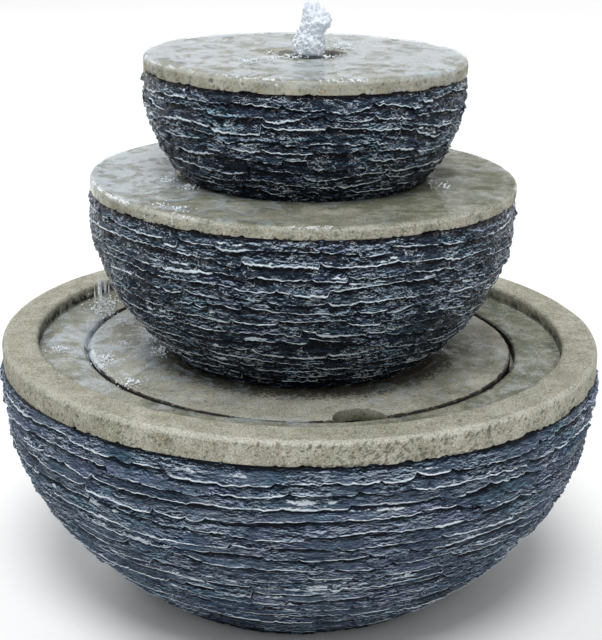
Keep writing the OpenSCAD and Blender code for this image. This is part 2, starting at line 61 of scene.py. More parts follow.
# %% Camera
camera_data = bpy.data.cameras.new("camera")
camera_data.sensor_width = 36
camera_data.lens = 82.71
camera = bpy.data.objects.new("camera", camera_data)
bpy.context.scene.collection.objects.link(camera)
camera.location = (0.0003, -0.9524, 0.4963)
CAMERA_PITCH = 0.3210
CAMERA_ROLL = 0.0195
upright = Matrix.Rotation(math.pi / 2 - CAMERA_PITCH, 4, "X")
camera.rotation_euler = (upright @ Matrix.Rotation(CAMERA_ROLL, 4, "Z")).to_euler()
bpy.context.scene.camera = camera
print("camera at", tuple(camera.location))

# %% [markdown]
# ## Light
# A pale studio: one large soft lamp above and to the left, a weaker one at the right, and an
# even white surround that fills the shadows and shows in the wet surfaces. The level is plain,
# so that a colour renders about as it is written.

# %% Surround
FILL_LEVEL, SEEN_LEVEL = 0.50, 1.0
world = bpy.data.worlds.new("studio")
bpy.context.scene.world = world
world.use_nodes = True
studio = world.node_tree
studio.nodes.clear()
rays = studio.nodes.new("ShaderNodeLightPath")
glossy = studio.nodes.new("ShaderNodeMath")
glossy.operation = "MAXIMUM"
studio.links.new(rays.outputs["Is Camera Ray"], glossy.inputs[0])
studio.links.new(rays.outputs["Is Glossy Ray"], glossy.inputs[1])
seen = studio.nodes.new("ShaderNodeMath")
seen.operation = "MAXIMUM"
studio.links.new(glossy.outputs[0], seen.inputs[0])
studio.links.new(rays.outputs["Is Transmission Ray"], seen.inputs[1])
choice = studio.nodes.new("ShaderNodeMixShader")
studio.links.new(seen.outputs[0], choice.inputs[0])
for socket, strength in ((1, FILL_LEVEL), (2, SEEN_LEVEL)):
    surround = studio.nodes.new("ShaderNodeBackground")
    surround.inputs["Color"].default_value = (1, 1, 1, 1)
    surround.inputs["Strength"].default_value = strength
    studio.links.new(surround.outputs[0], choice.inputs[socket])
world_out = studio.nodes.new("ShaderNodeOutputWorld")
studio.links.new(choice.outputs[0], world_out.inputs[0])
print("surround:", FILL_LEVEL, "as light,", SEEN_LEVEL, "where it is seen or mirrored")


# %% Lamps
def face_object(lamp, place):
    """Puts a lamp at its place and turns it to the middle of the fountain."""
    bpy.context.scene.collection.objects.link(lamp)
    lamp.location = place
    toward = Vector((0, 0, 0.2)) - Vector(place)
    lamp.rotation_euler = toward.to_track_quat("-Z", "Y").to_euler()
    lamp.visible_camera = False


def sky_lamp(name, place, spread, power):
    """A far, even lamp: a sun as wide as a cloud, so that its shadows are soft."""
    data = bpy.data.lights.new(name, "SUN")
    data.energy = power
    data.angle = math.radians(spread)
    face_object(bpy.data.objects.new(name, data), place)


def window_lamp(name, place, width, height, power):
    """A bright panel that mirrors in wet surfaces."""
    data = bpy.data.lights.new(name, "AREA")
    data.shape = "RECTANGLE"
    data.size, data.size_y = width, height
    data.energy = power
    face_object(bpy.data.objects.new(name, data), place)


sky_lamp("lamp_above", (-0.05, -1.0, 2.4), 26, 1.8)
window_lamp("lamp_window", (-1.5, 1.9, 1.5), 1.5, 1.0, 22)
print("lamps:", [lamp.name for lamp in bpy.data.lights])

# %% [markdown]
# ## Shader shop
# Each finish is written as sums on sockets. One small class wraps a socket and overloads the
# operators, so that `1 - mask * 0.5` adds its own Math nodes, and one method adds any other node.

# %% Sockets that can be written in sums
class Wire:
    """One output socket, with the arithmetic of Math nodes."""

    def __init__(self, shop, socket):
        self.shop = shop
        self.socket = socket

    def math(self, operation, *others):
        """A Math node whose first value is this one."""
        return self.shop.math(operation, self, *others)

    def __add__(self, other):
        return self.math("ADD", other)

    def __sub__(self, other):
        return self.math("SUBTRACT", other)

    def __mul__(self, other):
        return self.math("MULTIPLY", other)

    def __rsub__(self, other):
        return self.shop.math("SUBTRACT", other, self)

    __radd__ = __add__
    __rmul__ = __mul__

    def between(self, low, high):
        """0 below low, 1 above high and smooth between them."""
        return self.shop.node("ShaderNodeMapRange", {"interpolation_type": "SMOOTHSTEP"},
                              {"Value": self, "From Min": low, "From Max": high})

    def near_half(self, inner, outer):
        """1 where the value is about one half, so that noise draws thin wandering lines."""
        return 1 - (self - 0.5).math("ABSOLUTE").between(inner, outer)

    def clipped(self):
        return self.shop.node("ShaderNodeMath", {"operation": "ADD", "use_clamp": True},
                              {0: self, 1: 0.0})


# %% One material and its nodes
class Shop:
    """A material under construction: each method adds one node and returns its socket."""

    def __init__(self, name):
        self.material = bpy.data.materials.new(name)
        self.material.use_nodes = True
        self.tree = self.material.node_tree
        self.tree.nodes.clear()
        self.place = self.node("ShaderNodeTexCoord", output="Object")

    def node(self, kind, settings=None, inputs=None, output=0):
        """A node of that kind: its settings first, then the values or links of its sockets."""
        made = self.tree.nodes.new(kind)
        for key, value in (settings or {}).items():
            if key == "stops":
                self.set_stops(made.color_ramp, value)
            else:
                setattr(made, key, value)
        for key, value in (inputs or {}).items():
            socket = made.inputs[key]
            if isinstance(value, Wire):
                self.tree.links.new(value.socket, socket)
            else:
                socket.default_value = value
        return Wire(self, made.outputs[output])

    def math(self, operation, *values):
        return self.node("ShaderNodeMath", {"operation": operation}, dict(enumerate(values)))

    @staticmethod
    def set_stops(ramp, stops):
        while len(ramp.elements) < len(stops):
            ramp.elements.new(1.0)
        for element, (at, colour) in zip(ramp.elements, stops):
            element.position = at
            element.color = (*colour, 1)

    def noise(self, scale, detail=3.0, stretch=(1, 1, 1), rough=0.55, shift=(0, 0, 0), twist=0.0):
        """Noise from about 0.3 to 0.7, with features of about 1 / scale metres."""
        spot = self.node("ShaderNodeMapping", {},
                         {"Vector": self.place, "Scale": stretch, "Location": shift})
        return self.node("ShaderNodeTexNoise", {},
                         {"Vector": spot, "Scale": scale, "Detail": detail, "Roughness": rough,
                          "Distortion": twist})

    def attribute(self, name):
        return self.node("ShaderNodeAttribute", {"attribute_name": name}, output="Fac")

    def mix(self, share, below, above, blend="MIX"):
        """Colour below where share is 0, and above where it is 1."""
        return self.node("ShaderNodeMix", {"data_type": "RGBA", "blend_type": blend},
                         {"Factor": share, 6: self.full(below), 7: self.full(above)}, output=2)

    @staticmethod
    def full(colour):
        return colour if isinstance(colour, Wire) else (*colour, 1)

    def ramp(self, value, stops):
        return self.node("ShaderNodeValToRGB", {"stops": stops}, {"Fac": value})

    def bump(self, height, distance, strength=1.0, normal=None):
        inputs = {"Height": height, "Distance": distance, "Strength": strength}
        if normal is not None:
            inputs["Normal"] = normal
        return self.node("ShaderNodeBump", {}, inputs)

    def finish(self, **sockets):
        """The Principled shader and the output. Underscores in a socket's name stand for spaces."""
        inputs = {name.replace("_", " "): value for name, value in sockets.items()}
        for name, value in inputs.items():
            if "Color" in name and not isinstance(value, Wire):
                inputs[name] = (*value, 1)
        surface = self.node("ShaderNodeBsdfPrincipled", {}, inputs)
        out = self.tree.nodes.new("ShaderNodeOutputMaterial")
        self.tree.links.new(surface.socket, out.inputs["Surface"])
        return self.material


# %% [markdown]
# ## Slate finish
# The slate is cast and painted by hand: a dark blue-grey ground with teal and purple stains, and
# a nearly dry pale brush that catches only the lower lip of each course. The mesh stores where
# its lips and hollows are, and noise breaks up the brush's line. Two copies of one noise, one a
# little above the other, differ most on a slope, so their difference is painted light and shade
# on the carved relief, as if lit from above. Painted shade darkens the hollows under the lips and
# the lower courses. The upper bowls are wet, so theirs is darker, with glints and more painted
# threads of light.

# %% Slate finish
def slate_finish(name, shades, brush, line, wet):
    """Shades run from the hollows to the edges. Line is where the brush begins and is full."""
    shop = Shop(name)
    lip, hollow = shop.attribute("lip"), shop.attribute("hollow")

    # What the finish is made from: crumpled skin, grains, flakes and thin steps of strata.
    squash = (1, 1, 3.0 - 0.8 * wet)
    crumple = shop.noise(150, 4, squash, 0.68)
    above = shop.noise(150, 4, squash, 0.68, (0, 0, 0.0014))
    speck = shop.noise(720, 3, (1, 1, 2.4), 0.65)
    flake = shop.noise(330, 3, (1, 1, 2.6), 0.6, (3, 1, 2))
    strata = shop.noise(58, 3, (1, 1, 4.2), 0.6, (1, 8, 3)) * 7
    floor = strata.math("FLOOR")
    step = (strata - floor).between(0.36, 0.64)
    chip = 1 - (step * 2 - 1).math("ABSOLUTE")

    # Ground: painted light from above on the carving and the chips of the strata, painted shade in
    # the hollows and, through the tone, on the lower courses, and stains in places.
    rough_patch = 0.5 + 0.9 * shop.noise(36, 2, (1, 1, 1.6), 0.5, (4, 4, 2)).between(0.4, 0.6)
    painted_relief_light = (crumple - above) * (3.6 + 0.9 * wet)
    relief = painted_relief_light + (crumple.between(0.3, 0.7) - 0.5) * 0.24 + (speck - 0.5) * 0.7
    light = 0.42 + 0.008 * wet + relief * rough_patch * (1.1 - 0.16 * wet)
    light = light + shop.attribute("tone") * 0.14 + chip * rough_patch * 0.1 + lip * 0.12
    face = shop.ramp(light - hollow.between(0.62, 0.95) * 0.6, shades)
    for colour, shift in (((0.70, 1.0, 1.0), (0, 0, 0)), ((0.97, 0.90, 1.04), (7, 3, 1))):
        patch = shop.noise(30, 2, (1, 1, 1.6), 0.5, shift).between(0.5, 0.66) * 0.7
        face = shop.mix(patch, face, colour, "MULTIPLY")

    # Brush along the lips, and thin painted highlights, threads of light where the skin is creased.
    broken = shop.noise(48, 2, (1, 1, 2.0), 0.5, (5, 5, 1)) - 0.5
    stroke = lip * 1.2 + shop.attribute("brush") * 0.8 + flake * 1.4 + speck * 0.5 + broken * 1.5
    highlight_thread = shop.noise(105, 4, (1, 1, 2.4), 0.62, (2, 7, 4)).near_half(0.004, 0.018)
    where = shop.noise(60, 3, (1, 1, 1.5), 0.6, (6, 2, 2)).between(0.50, 0.58)
    highlight_thread = highlight_thread * where * speck.between(0.40, 0.52) * (1 - hollow.between(0.8, 0.97))
    paint = (stroke.between(*line) * 0.95).math("MAXIMUM", highlight_thread * (0.2 + 0.7 * wet))
    face = shop.mix(paint, face, brush)

    # The inside of the bowl is plain casting.
    inner = shop.attribute("inner").between(0.2, 0.8)
    plain = shop.mix(crumple.between(0.35, 0.65), (0.024, 0.028, 0.032), (0.060, 0.066, 0.070))
    face = shop.mix(inner, face, plain)
    dent = shop.bump((floor + step) * (1 - inner), 0.62 * MM, 1.0)
    dent = shop.bump(crumple * (1 - 0.7 * inner), 3.4 * MM, 0.9, dent)
    dent = shop.bump(speck, 1.0 * MM, 0.8 - 0.4 * wet, dent)
    glint = shop.noise(240, 3, (1, 1, 1.8), 0.65, (9, 1, 1)).between(0.57, 0.62)
    return shop.finish(Base_Color=face, Roughness=0.52 - 0.34 * wet + 0.16 * speck, Normal=dent,
                       IOR=1.22, Coat_Weight=glint * wet, Coat_Roughness=0.10, Coat_IOR=1.4)


DRY_SHADES = ((0.0, (0.001, 0.003, 0.006)), (0.18, (0.007, 0.012, 0.024)),
              (0.42, (0.043, 0.068, 0.108)), (0.68, (0.138, 0.190, 0.270)),
              (1.0, (0.50, 0.58, 0.68)))
WET_SHADES = ((0.0, (0.0004, 0.001, 0.004)), (0.28, (0.0018, 0.004, 0.011)),
              (0.50, (0.0095, 0.021, 0.040)), (0.76, (0.064, 0.102, 0.150)),
              (1.0, (0.40, 0.49, 0.60)))
basin_slate = slate_finish("basin_slate", DRY_SHADES, (0.84, 0.93, 1.0), (2.10, 2.26), 0)
upper_slate = slate_finish("upper_slate", WET_SHADES, (0.80, 0.91, 1.0), (2.10, 2.24), 1)
print("slate:", basin_slate.name, upper_slate.name)

# %% [markdown]
# ## Ripples
# Thin running water lies in swirls. Where it is thick, the films show a painted reflection of the
# pale surround. The wet stone's gloss and the films of water over it share one pattern, so that
# their lights fall together.

# %% Ripples on standing water
def ripples(shop):
    """0 to 1: the swirls and smaller ripples of a thin sheet of running water."""
    swirl = shop.noise(38, 3, (1.0, 0.8, 1.0), 0.55, (3, 1, 1), 1.4)
    streak = shop.noise(95, 3, (1.0, 0.7, 1.0), 0.6, twist=0.8)
    fine = shop.noise(260, 2, (1.0, 0.7, 1.0), 0.6, (5, 1, 2))
    return (swirl.between(0.40, 0.60) * 0.5 + streak.between(0.40, 0.60) * 0.32
            + fine.between(0.38, 0.62) * 0.18)


# %% [markdown]
# ## Stone finish
# The rim, the lid and the caps are cast from sandy concrete: an olive-beige ground, fine dark and
# pale grains, ochre stains and small pits on the upright faces. The mesh stores where it is damp,
# soaked, mouldy or gritty, where shade is painted in dark places such as beside the drain gap,
# and where a highlight is painted along the top edges. Each of these is laid over the stone as
# one more wash.

# %% Stone finish
def scaled(colour, share):
    return tuple(share * part for part in colour)


def stone_finish(name, ground, pale, stains):
    shop = Shop(name)
    damp = shop.attribute("damp")
    cloud = shop.noise(70, 4, rough=0.6)
    broad = shop.noise(20, 3, shift=(2, 2, 5))
    blotch = shop.noise(150, 3, shift=(4, 4, 9))
    fine = shop.noise(1050, 3, rough=0.7, shift=(2, 5, 1))
    sand = shop.node("ShaderNodeTexVoronoi", {}, {"Vector": shop.place, "Scale": 880.0},
                     output="Color")
    grain = shop.node("ShaderNodeSeparateColor", {}, {"Color": sand})
    dry = 1 - shop.attribute("slick") * 0.7
    face = shop.mix(cloud.between(0.34, 0.66), ground, pale)
    for share, colour in (
            (broad.between(0.5, 0.68) * 0.5, stains[0]),
            (blotch.between(0.55, 0.7) * 0.4, stains[1]),
            (grain.between(0.84, 0.88) * fine.between(0.35, 0.6) * 0.6, stains[1]),
            ((1 - grain).between(0.84, 0.90) * fine.between(0.3, 0.55) * 0.5,
             scaled(ground, 0.22)),
            (fine.between(0.53, 0.64) * 0.62 * dry, scaled(pale, 1.45)),
            ((1 - fine).between(0.53, 0.64) * 0.62 * dry, scaled(ground, 0.3)),
            # Painted highlight along the rounded top edges.
            (shop.attribute("edge") * (0.2 + 0.4 * fine.between(0.4, 0.6)), (0.74, 0.74, 0.68)),
            (shop.attribute("pit") * 0.75, scaled(ground, 0.2))):
        face = shop.mix(share, face, colour)

    # Water soaks in by patches, and mould with painted shade, and grit, lie over it.
    patch = shop.noise(95, 4, (1, 1, 0.5), 0.62, (1, 9, 2)).between(0.36, 0.62)
    soak = (shop.attribute("soak") * (0.55 + 0.75 * patch)).clipped()
    face = shop.mix(soak, face, (0.39, 0.42, 0.33), "MULTIPLY")
    mould = shop.attribute("mould") * (0.25 + 0.75 * shop.noise(170, 4).between(0.42, 0.56))
    face = shop.mix(mould.clipped(), face, (0.024, 0.022, 0.020))
    grime = shop.attribute("grime")
    grit = shop.noise(430, 4, rough=0.7, shift=(6, 2, 2)) + grime * 0.19
    grit = grit.between(0.585, 0.635) * grime.between(0.0, 0.3)
    face = shop.mix(grit * 0.85, face, (0.050, 0.036, 0.024))
    dent = None
    for height, distance, strength in ((fine, 0.5, 0.6), (grain, 0.35, 0.35), (cloud, 1.6, 0.35)):
        dent = shop.bump(height, distance * MM, strength, dent)
    mirror = damp * (0.10 + 1.1 * ripples(shop).between(0.12, 0.82))
    return shop.finish(Base_Color=face, Roughness=0.85 - 0.2 * damp, Normal=dent, IOR=1.2,
                       Coat_Weight=mirror.clipped(), Coat_Roughness=0.05, Coat_IOR=1.33)


cast_stone = stone_finish("cast_stone", (0.322, 0.316, 0.254), (0.482, 0.477, 0.405),
                          ((0.305, 0.312, 0.234), (0.325, 0.248, 0.150)))
print("stone:", cast_stone.name)

# %% [markdown]
# ## Water finish
# Water is clear, so what shows is the light on it. The films have a thin alpha that thickens in
# the ripples, where their pale colour is a painted reflection of the surround, and under foam and
# painted glints. Froth is white because it is full of air, so the jet and the splashes are nearly
# opaque, with grey hollows and a faint painted glow for the light scattered inside them.

# %% Water finishes
def film_finish():
    shop = Shop("water_film")
    sheen = shop.attribute("sheen")
    foam = shop.attribute("foam")
    streak = shop.noise(95, 3, (1.0, 0.7, 1.0), 0.6)
    fine = shop.noise(330, 3, (1.2, 0.7, 0.4), 0.6, (5, 1, 2))
    speck = shop.noise(420, 2, (1, 1, 1), 0.6, (1, 5, 2))
    wave = ripples(shop)
    lace = shop.noise(230, 3, (1, 1, 1), 0.6, (8, 3, 1)).near_half(0.006, 0.03)
    # Froth, and painted highlights along the caps' lips and down the rivulets.
    froth_and_glints = (foam + lace * 0.4 + speck * 0.9).between(1.18, 1.42)
    # Pale blue: a painted reflection of the surround where the film is thick; white for froth and
    # painted glints.
    colour = shop.mix(froth_and_glints, (0.68, 0.78, 0.87), (0.88, 0.89, 0.87))
    cover = (sheen * 1.15 + wave * 1.3 - 0.95).between(-0.05, 1.1)
    cover = (0.02 + sheen * 0.08 + cover * 0.46 + froth_and_glints * 0.7).clipped()
    dent = shop.bump(streak, 2.2 * MM, 0.6)
    dent = shop.bump(fine, 0.8 * MM, 0.7, dent)
    return shop.finish(Base_Color=colour, Roughness=0.06, IOR=1.33, Alpha=cover, Normal=dent)


def froth_finish():
    shop = Shop("water_froth")
    bubble = shop.node("ShaderNodeTexVoronoi", {"feature": "F1"},
                       {"Vector": shop.place, "Scale": 640.0}, output="Distance")
    lump = shop.noise(260, 3, rough=0.6)
    speck = shop.noise(1500, 2, shift=(1, 1, 4))
    spray = shop.attribute("spray")
    pale = 0.9 - bubble * 0.62 + (lump - 0.5) * 1.1 + (speck - 0.5) * 0.5 + spray * 0.5
    colour = shop.ramp(pale, ((0.20, (0.48, 0.55, 0.65)), (0.46, (0.68, 0.75, 0.84)),
                              (0.74, (0.84, 0.89, 0.94))))
    dent = shop.bump(1 - bubble, 0.8 * MM, 0.5)
    dent = shop.bump(lump, 0.8 * MM, 0.5, dent)
    # A faint painted glow stands in for the light scattered inside the froth.
    return shop.finish(Base_Color=colour, Roughness=0.10, IOR=1.33, Normal=dent,
                       Emission_Color=(0.86, 0.93, 1.0), Emission_Strength=0.10,
                       Alpha=(0.72 + 0.28 * lump.between(0.40, 0.54) + 0.2 * spray).clipped())


water_film_finish = film_finish()
water_froth_finish = froth_finish()
print("water:", water_film_finish.name, water_froth_finish.name)

# %% [markdown]
# ## Turned pieces
# Every stone and slate piece is round, so each starts as an outline: one vertex is extruded from
# point to point, as on paper, and the outline is spun about the fountain's axis. Each outline
# point keeps its number in an attribute, so the relief can find its row again after the spin. A
# plain cylinder cut to shape would need as many cuts as the outline has corners.

# %% Selecting, joining and modifiers
def deselect():
    if bpy.context.mode != "OBJECT":
        bpy.ops.object.mode_set(mode="OBJECT")
    bpy.ops.object.select_all(action="DESELECT")


def joined(into, others):
    """Joins other pieces into one."""
    deselect()
    for piece in (into, *others):
        piece.select_set(True)
    bpy.context.view_layer.objects.active = into
    if others:
        bpy.ops.object.join()
    return into


def apply_modifier(piece, kind, **settings):
    bpy.context.view_layer.objects.active = piece
    bpy.ops.object.modifier_add(type=kind)
    modifier = piece.modifiers[-1]
    for key, value in settings.items():
        setattr(modifier, key, value)
    bpy.ops.object.modifier_apply(modifier=modifier.name)


def cut_away(piece, cutters):
    """Takes the cutters' shapes out of a piece."""
    cutter = joined(cutters[0], cutters[1:])
    apply_modifier(piece, "BOOLEAN", object=cutter, solver="EXACT")
    bpy.data.objects.remove(cutter)


def rod(radius, start, end, turned_to_y=False, sides=64):
    """A cylinder cutter between two places on one line."""
    deselect()
    middle = (Vector(start) + Vector(end)) / 2
    bpy.ops.mesh.primitive_cylinder_add(
        vertices=sides, radius=radius, depth=(Vector(end) - Vector(start)).length,
        location=middle, rotation=(TURN / 4, 0, 0) if turned_to_y else (0, 0, 0))
    bpy.ops.object.transform_apply(location=True, rotation=True, scale=True)
    return bpy.context.object


# %% Turned pieces
SAME_PLACE = 0.01 * MM


def drawn(name, outline):
    """The points of an outline of (radius, height), each extruded from the one before."""
    deselect()
    bpy.ops.mesh.primitive_plane_add(size=MM)
    piece = bpy.context.object
    piece.name = piece.data.name = name
    bpy.ops.object.mode_set(mode="EDIT")
    bpy.ops.mesh.select_all(action="SELECT")
    bpy.ops.mesh.merge(type="CENTER")
    here = (0.0, 0.0)
    for index, point in enumerate(outline):
        step = {"value": (point[0] - here[0], 0, point[1] - here[1])}
        if index == 0:
            bpy.ops.transform.translate(**step)
        else:
            bpy.ops.mesh.extrude_region_move(TRANSFORM_OT_translate=step)
        here = point
    bpy.ops.object.mode_set(mode="OBJECT")
    row = piece.data.attributes.new("row", "INT", "POINT")
    row.data.foreach_set("value", np.arange(len(outline), dtype=np.int32))
    return piece


def close_outline(piece):
    """Joins the last point of an outline to the first."""
    points = len(piece.data.vertices)
    piece.data.vertices.foreach_set("select", [True] + [False] * (points - 2) + [True])
    piece.data.edges.foreach_set("select", [False] * len(piece.data.edges))
    bpy.ops.object.mode_set(mode="EDIT")
    bpy.ops.mesh.select_mode(type="VERT")
    bpy.ops.mesh.edge_face_add()
    bpy.ops.object.mode_set(mode="OBJECT")


def turned(name, outline, columns, closed=True):
    """Turns an outline about Z and returns the piece."""
    piece = drawn(name, outline)
    if closed:
        close_outline(piece)
    apply_modifier(piece, "SCREW", steps=columns, render_steps=columns,
                   use_merge_vertices=True, merge_threshold=SAME_PLACE)
    bpy.ops.object.mode_set(mode="EDIT")
    bpy.ops.mesh.select_all(action="SELECT")
    bpy.ops.mesh.remove_doubles(threshold=SAME_PLACE)
    bpy.ops.mesh.normals_make_consistent(inside=False)
    bpy.ops.object.mode_set(mode="OBJECT")
    return piece


# %% Reading and writing a mesh
def numbers(items, key, width=1, kind=float):
    """One number, or one row of numbers, from each item of a mesh."""
    values = np.empty(len(items) * width, kind)
    items.foreach_get(key, values)
    return values.reshape(-1, width) if width > 1 else values


def read_points(piece):
    return numbers(piece.data.vertices, "co", 3)


def write_points(piece, spots):
    piece.data.vertices.foreach_set("co", np.asarray(spots, float).ravel())
    piece.data.update()


def read_rows(piece):
    return numbers(piece.data.attributes["row"].data, "value", kind=np.int32)


def store(piece, name, values):
    """Keeps one number for each vertex, for the finish to read."""
    layer = piece.data.attributes.new(name, "FLOAT", "POINT")
    layer.data.foreach_set("value", np.asarray(values, np.float32))


# %% Angles, soft steps and smooth randomness
def polar(spots):
    """Angle from the front toward +X, and distance from the axis."""
    return np.arctan2(spots[:, 0], -spots[:, 1]) % TURN, np.hypot(spots[:, 0], spots[:, 1])


def from_polar(angle, radius, height):
    return np.stack([radius * np.sin(angle), -radius * np.cos(angle), height], axis=1)


def smooth(value, low, high):
    share = np.clip((value - low) / (high - low), 0, 1)
    return share * share * (3 - 2 * share)


def lobe(angle, centre, width):
    """1 at one bearing, falling off smoothly to both sides. Both in degrees from the front."""
    away = (np.degrees(angle) - centre + 180) % 360 - 180
    return np.exp(-(away / width) ** 2)


def rumple(angle, along, around, cell, seed):
    """Smooth random values from -1 to 1: so many cells around, and cells of that size along."""
    dice = np.random.default_rng(seed)
    v = (along - along.min()) / cell
    lattice = dice.uniform(-1, 1, (int(v.max()) + 2, around))
    u = angle / TURN * around
    i, j = np.floor(u).astype(int), np.floor(v).astype(int)
    s, t = u - i, v - j
    s, t = s * s * (3 - 2 * s), t * t * (3 - 2 * t)
    i, k = i % around, (i + 1) % around
    low = lattice[j, i] * (1 - s) + lattice[j, k] * s
    high = lattice[j + 1, i] * (1 - s) + lattice[j + 1, k] * s
    return low * (1 - t) + high * t


def patches(angle, along, girth, wide, tall, seed):
    """Smooth random values from -1 to 1 in patches of about that width and height."""
    return rumple(angle, along, int(girth / wide), tall, seed)


def around(angle, cells, seed):
    """Smooth random values that change only round the piece."""
    return rumple(angle, np.zeros(len(angle)), cells, 1, seed)


# %% Dressing a piece
def dress(piece, finish, body, slot, *nodes, sharp=40):
    """Finish, smooth shading and body of a piece, and hides the solids it stands for. Slot is not
    used.
    """
    piece.data.materials.clear()
    piece.data.materials.append(finish)
    deselect()
    piece.select_set(True)
    bpy.context.view_layer.objects.active = piece
    bpy.ops.object.shade_smooth_by_angle(angle=math.radians(sharp))
    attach(piece, body)
    if nodes:
        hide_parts(*nodes)
    print(f"{piece.name}: {len(piece.data.polygons)} faces")


# %% [markdown]
# ## Slate bowls
# Each bowl is laid in courses of thin slate plates. A plate stands out at its lower lip and leans
# in towards its top, where the next course hangs over it. Plates are 10 to 80 mm long, a little
# higher or lower than their neighbours, hooked up at one end, and some are broken back. A regular
# stack of rings would look machined, so every course gets its own plates from seeded dice.

# %% Plates round one course
LIP_SHARES = (0.0, 0.07, 0.17, 0.31, 0.49, 0.68, 0.86, 1.0)
LIP_OUT = (0.70, 1.0, 0.86, 0.62, 0.44, 0.27, 0.11, 0.0)
LIP_PAINT = (0.45, 1.0, 0.14, 0.0, 0.0, 0.0, 0.0, 0.0)
PLATE_SHORT = 9 * MM
BROKEN_BACK, SPLIT_OFF, SECOND_LIP = 0.16, 0.3, 0.6


def wander(dice, angle, slow, fast):
    """A smooth random line round the bowl, about one unit high."""
    waves = np.arange(slow, fast)
    sizes = dice.normal(size=len(waves)) / np.sqrt(waves)
    phases = dice.uniform(0, TURN, len(waves))
    line = (sizes[:, None] * np.sin(waves[:, None] * angle + phases[:, None])).sum(0)
    return line / max(np.abs(line).max(), 1e-9)


def lay_plates(dice, angle, radius, plate_long, rough):
    """For each angle round one course: how far its plate stands out, its lift, paint and tone."""
    longest = math.log(plate_long / PLATE_SHORT)
    sizes = []
    while sum(sizes) < TURN * radius:
        sizes.append(PLATE_SHORT * math.exp(dice.uniform(0, 1) ** 0.8 * longest))
    count = len(sizes)
    ends = np.cumsum(sizes) / sum(sizes) * TURN
    angle = (angle + dice.uniform(0, TURN)) % TURN
    which = np.searchsorted(ends, angle, side="right") % count
    length = np.array(sizes)[which]
    left = (angle - np.concatenate([[0.0], ends[:-1]])[which]) * radius
    right = np.maximum(length - left, 0)

    def each(low=0.0, high=1.0):
        """One random number for each plate, given to the angles that it covers."""
        return dice.uniform(low, high, count)[which]

    # How far it stands out, where it is split, and how its ends and its lip are nibbled.
    stand = np.where(each() < BROKEN_BACK, each(0.1, 0.35), each(0.6, 1.0))
    split = np.where(each() < SPLIT_OFF, each(0.1, 0.5), each(0.6, 1.0))
    gap = each(0.6, 2.6) * MM
    whole = smooth(np.minimum(left, right), 0.2 * gap, gap + 0.8 * MM)
    nibble = 1 - 0.6 * np.abs(wander(dice, angle, 70, 300)) ** 1.4
    # How high its lip lies: its own level and tilt, its hooked ends, and a crooked edge.
    lift = dice.normal(0, 1.25 * rough * MM, count)[which]
    lift += dice.normal(0, 1.0 * MM, count)[which] * (left / length - 0.5)
    lift += each(0.2, 3.2) * rough * MM * np.exp(-left / (3.5 * MM))
    lift += each(-0.8, 1.6) * MM * np.exp(-right / (4 * MM))
    lift += 0.7 * MM * wander(dice, angle, 30, 120) + 0.6 * MM * wander(dice, angle, 90, 300)
    # How much brush it took, its tone, and a second lip on some, with the row that bears it.
    paint = each() + 0.45 * wander(dice, angle, 20, 160)
    tone = each()
    second = np.where(each() < SECOND_LIP, each(0.12, 0.4), 0)
    second = second * np.clip(0.6 + 0.8 * wander(dice, angle, 15, 90), 0, 1)
    layer = dice.integers(3, 6, count)[which]
    return (stand * (split + (1 - split) * whole) * nibble, lift,
            np.clip(paint * (0.1 + 0.9 * whole), 0, 1), tone, second, layer)


# %% A slate bowl
BOWL_POWER = 2.4
COURSE_STRETCH = 0.125
INNER_STEPS = 5


def bowl_r(foot_r, top_r, height, z):
    """Radius of a bowl's side at height z above its foot: it turns upright as it rises."""
    return foot_r + (top_r - foot_r) * (1 - (1 - np.clip(z / height, 0, 1)) ** BOWL_POWER)


def side_r(bowl, z):
    """Radius that the lips of a bowl's plates reach at height z."""
    return bowl_r(bowl.foot_r, bowl.top_r, bowl.height, z - bowl.foot_z)


def slate_bowl(name, bowl):
    """A whole hollow bowl, with its slate courses outside and a smooth inside."""
    share = np.arange(bowl.courses + 1) / bowl.courses
    nominal = bowl.foot_z + bowl.height * (share * (1 - COURSE_STRETCH)
                                           + COURSE_STRETCH * share ** 2)
    rows = [(k, j) for k in range(bowl.courses) for j in range(len(LIP_SHARES))]
    outer = []
    for k, j in rows:
        z = nominal[k] + (nominal[k + 1] - nominal[k]) * LIP_SHARES[j]
        outer.append((side_r(bowl, z) - bowl.ledge * (1 - LIP_OUT[j]), z))
    inner, deep = [], bowl.height - bowl.floor_t
    for step in range(INNER_STEPS, -1, -1):
        z = deep * step / INNER_STEPS
        r = bowl_r(bowl.foot_r - bowl.wall, bowl.top_r - bowl.ledge - bowl.wall, deep, z)
        inner.append((r, bowl.foot_z + bowl.floor_t + z))
    under = [(bowl.hole_r, bowl.foot_z + bowl.floor_t), (bowl.hole_r, bowl.foot_z)]
    holed = bowl.hole_r > 0
    outline = outer + inner + under if holed else under[1:] + outer + inner + under[:1]
    piece = turned(name, outline, bowl.columns, holed)
    carve_courses(piece, bowl, rows, 0 if holed else 1, nominal)
    return piece


# %% Courses carved into a bowl
THINNEST, LEAST_PITCH, BOWL_MOST_PUSH = 2 * MM, 0.4, 0.8 * MM


def course_lines(bowl, nominal, dice, round_angle):
    """Height of each course's lower lip at each column, and its plates' numbers."""
    drift = wander(dice, round_angle, 2, 9)
    plates = np.zeros((6, bowl.courses + 1, bowl.columns))
    low = np.repeat(nominal[:, None], bowl.columns, axis=1)
    for k in range(bowl.courses):
        plates[:, k] = lay_plates(dice, round_angle, side_r(bowl, nominal[k]), bowl.plate_long,
                                  bowl.rough)
        pitch = nominal[k + 1] - nominal[k]
        if k > 0:
            low[k] += (0.14 * drift + 0.26 * wander(dice, round_angle, 3, 16)) * pitch
            low[k] += plates[1, k]
            low[k] = np.maximum(low[k], low[k - 1] + LEAST_PITCH * pitch)
    low[-2] = np.minimum(low[-2], nominal[-1] - THINNEST - 0.5 * MM)
    for k in range(bowl.courses - 2, 0, -1):
        low[k] = np.minimum(low[k], low[k + 1] - THINNEST)
    return low, plates


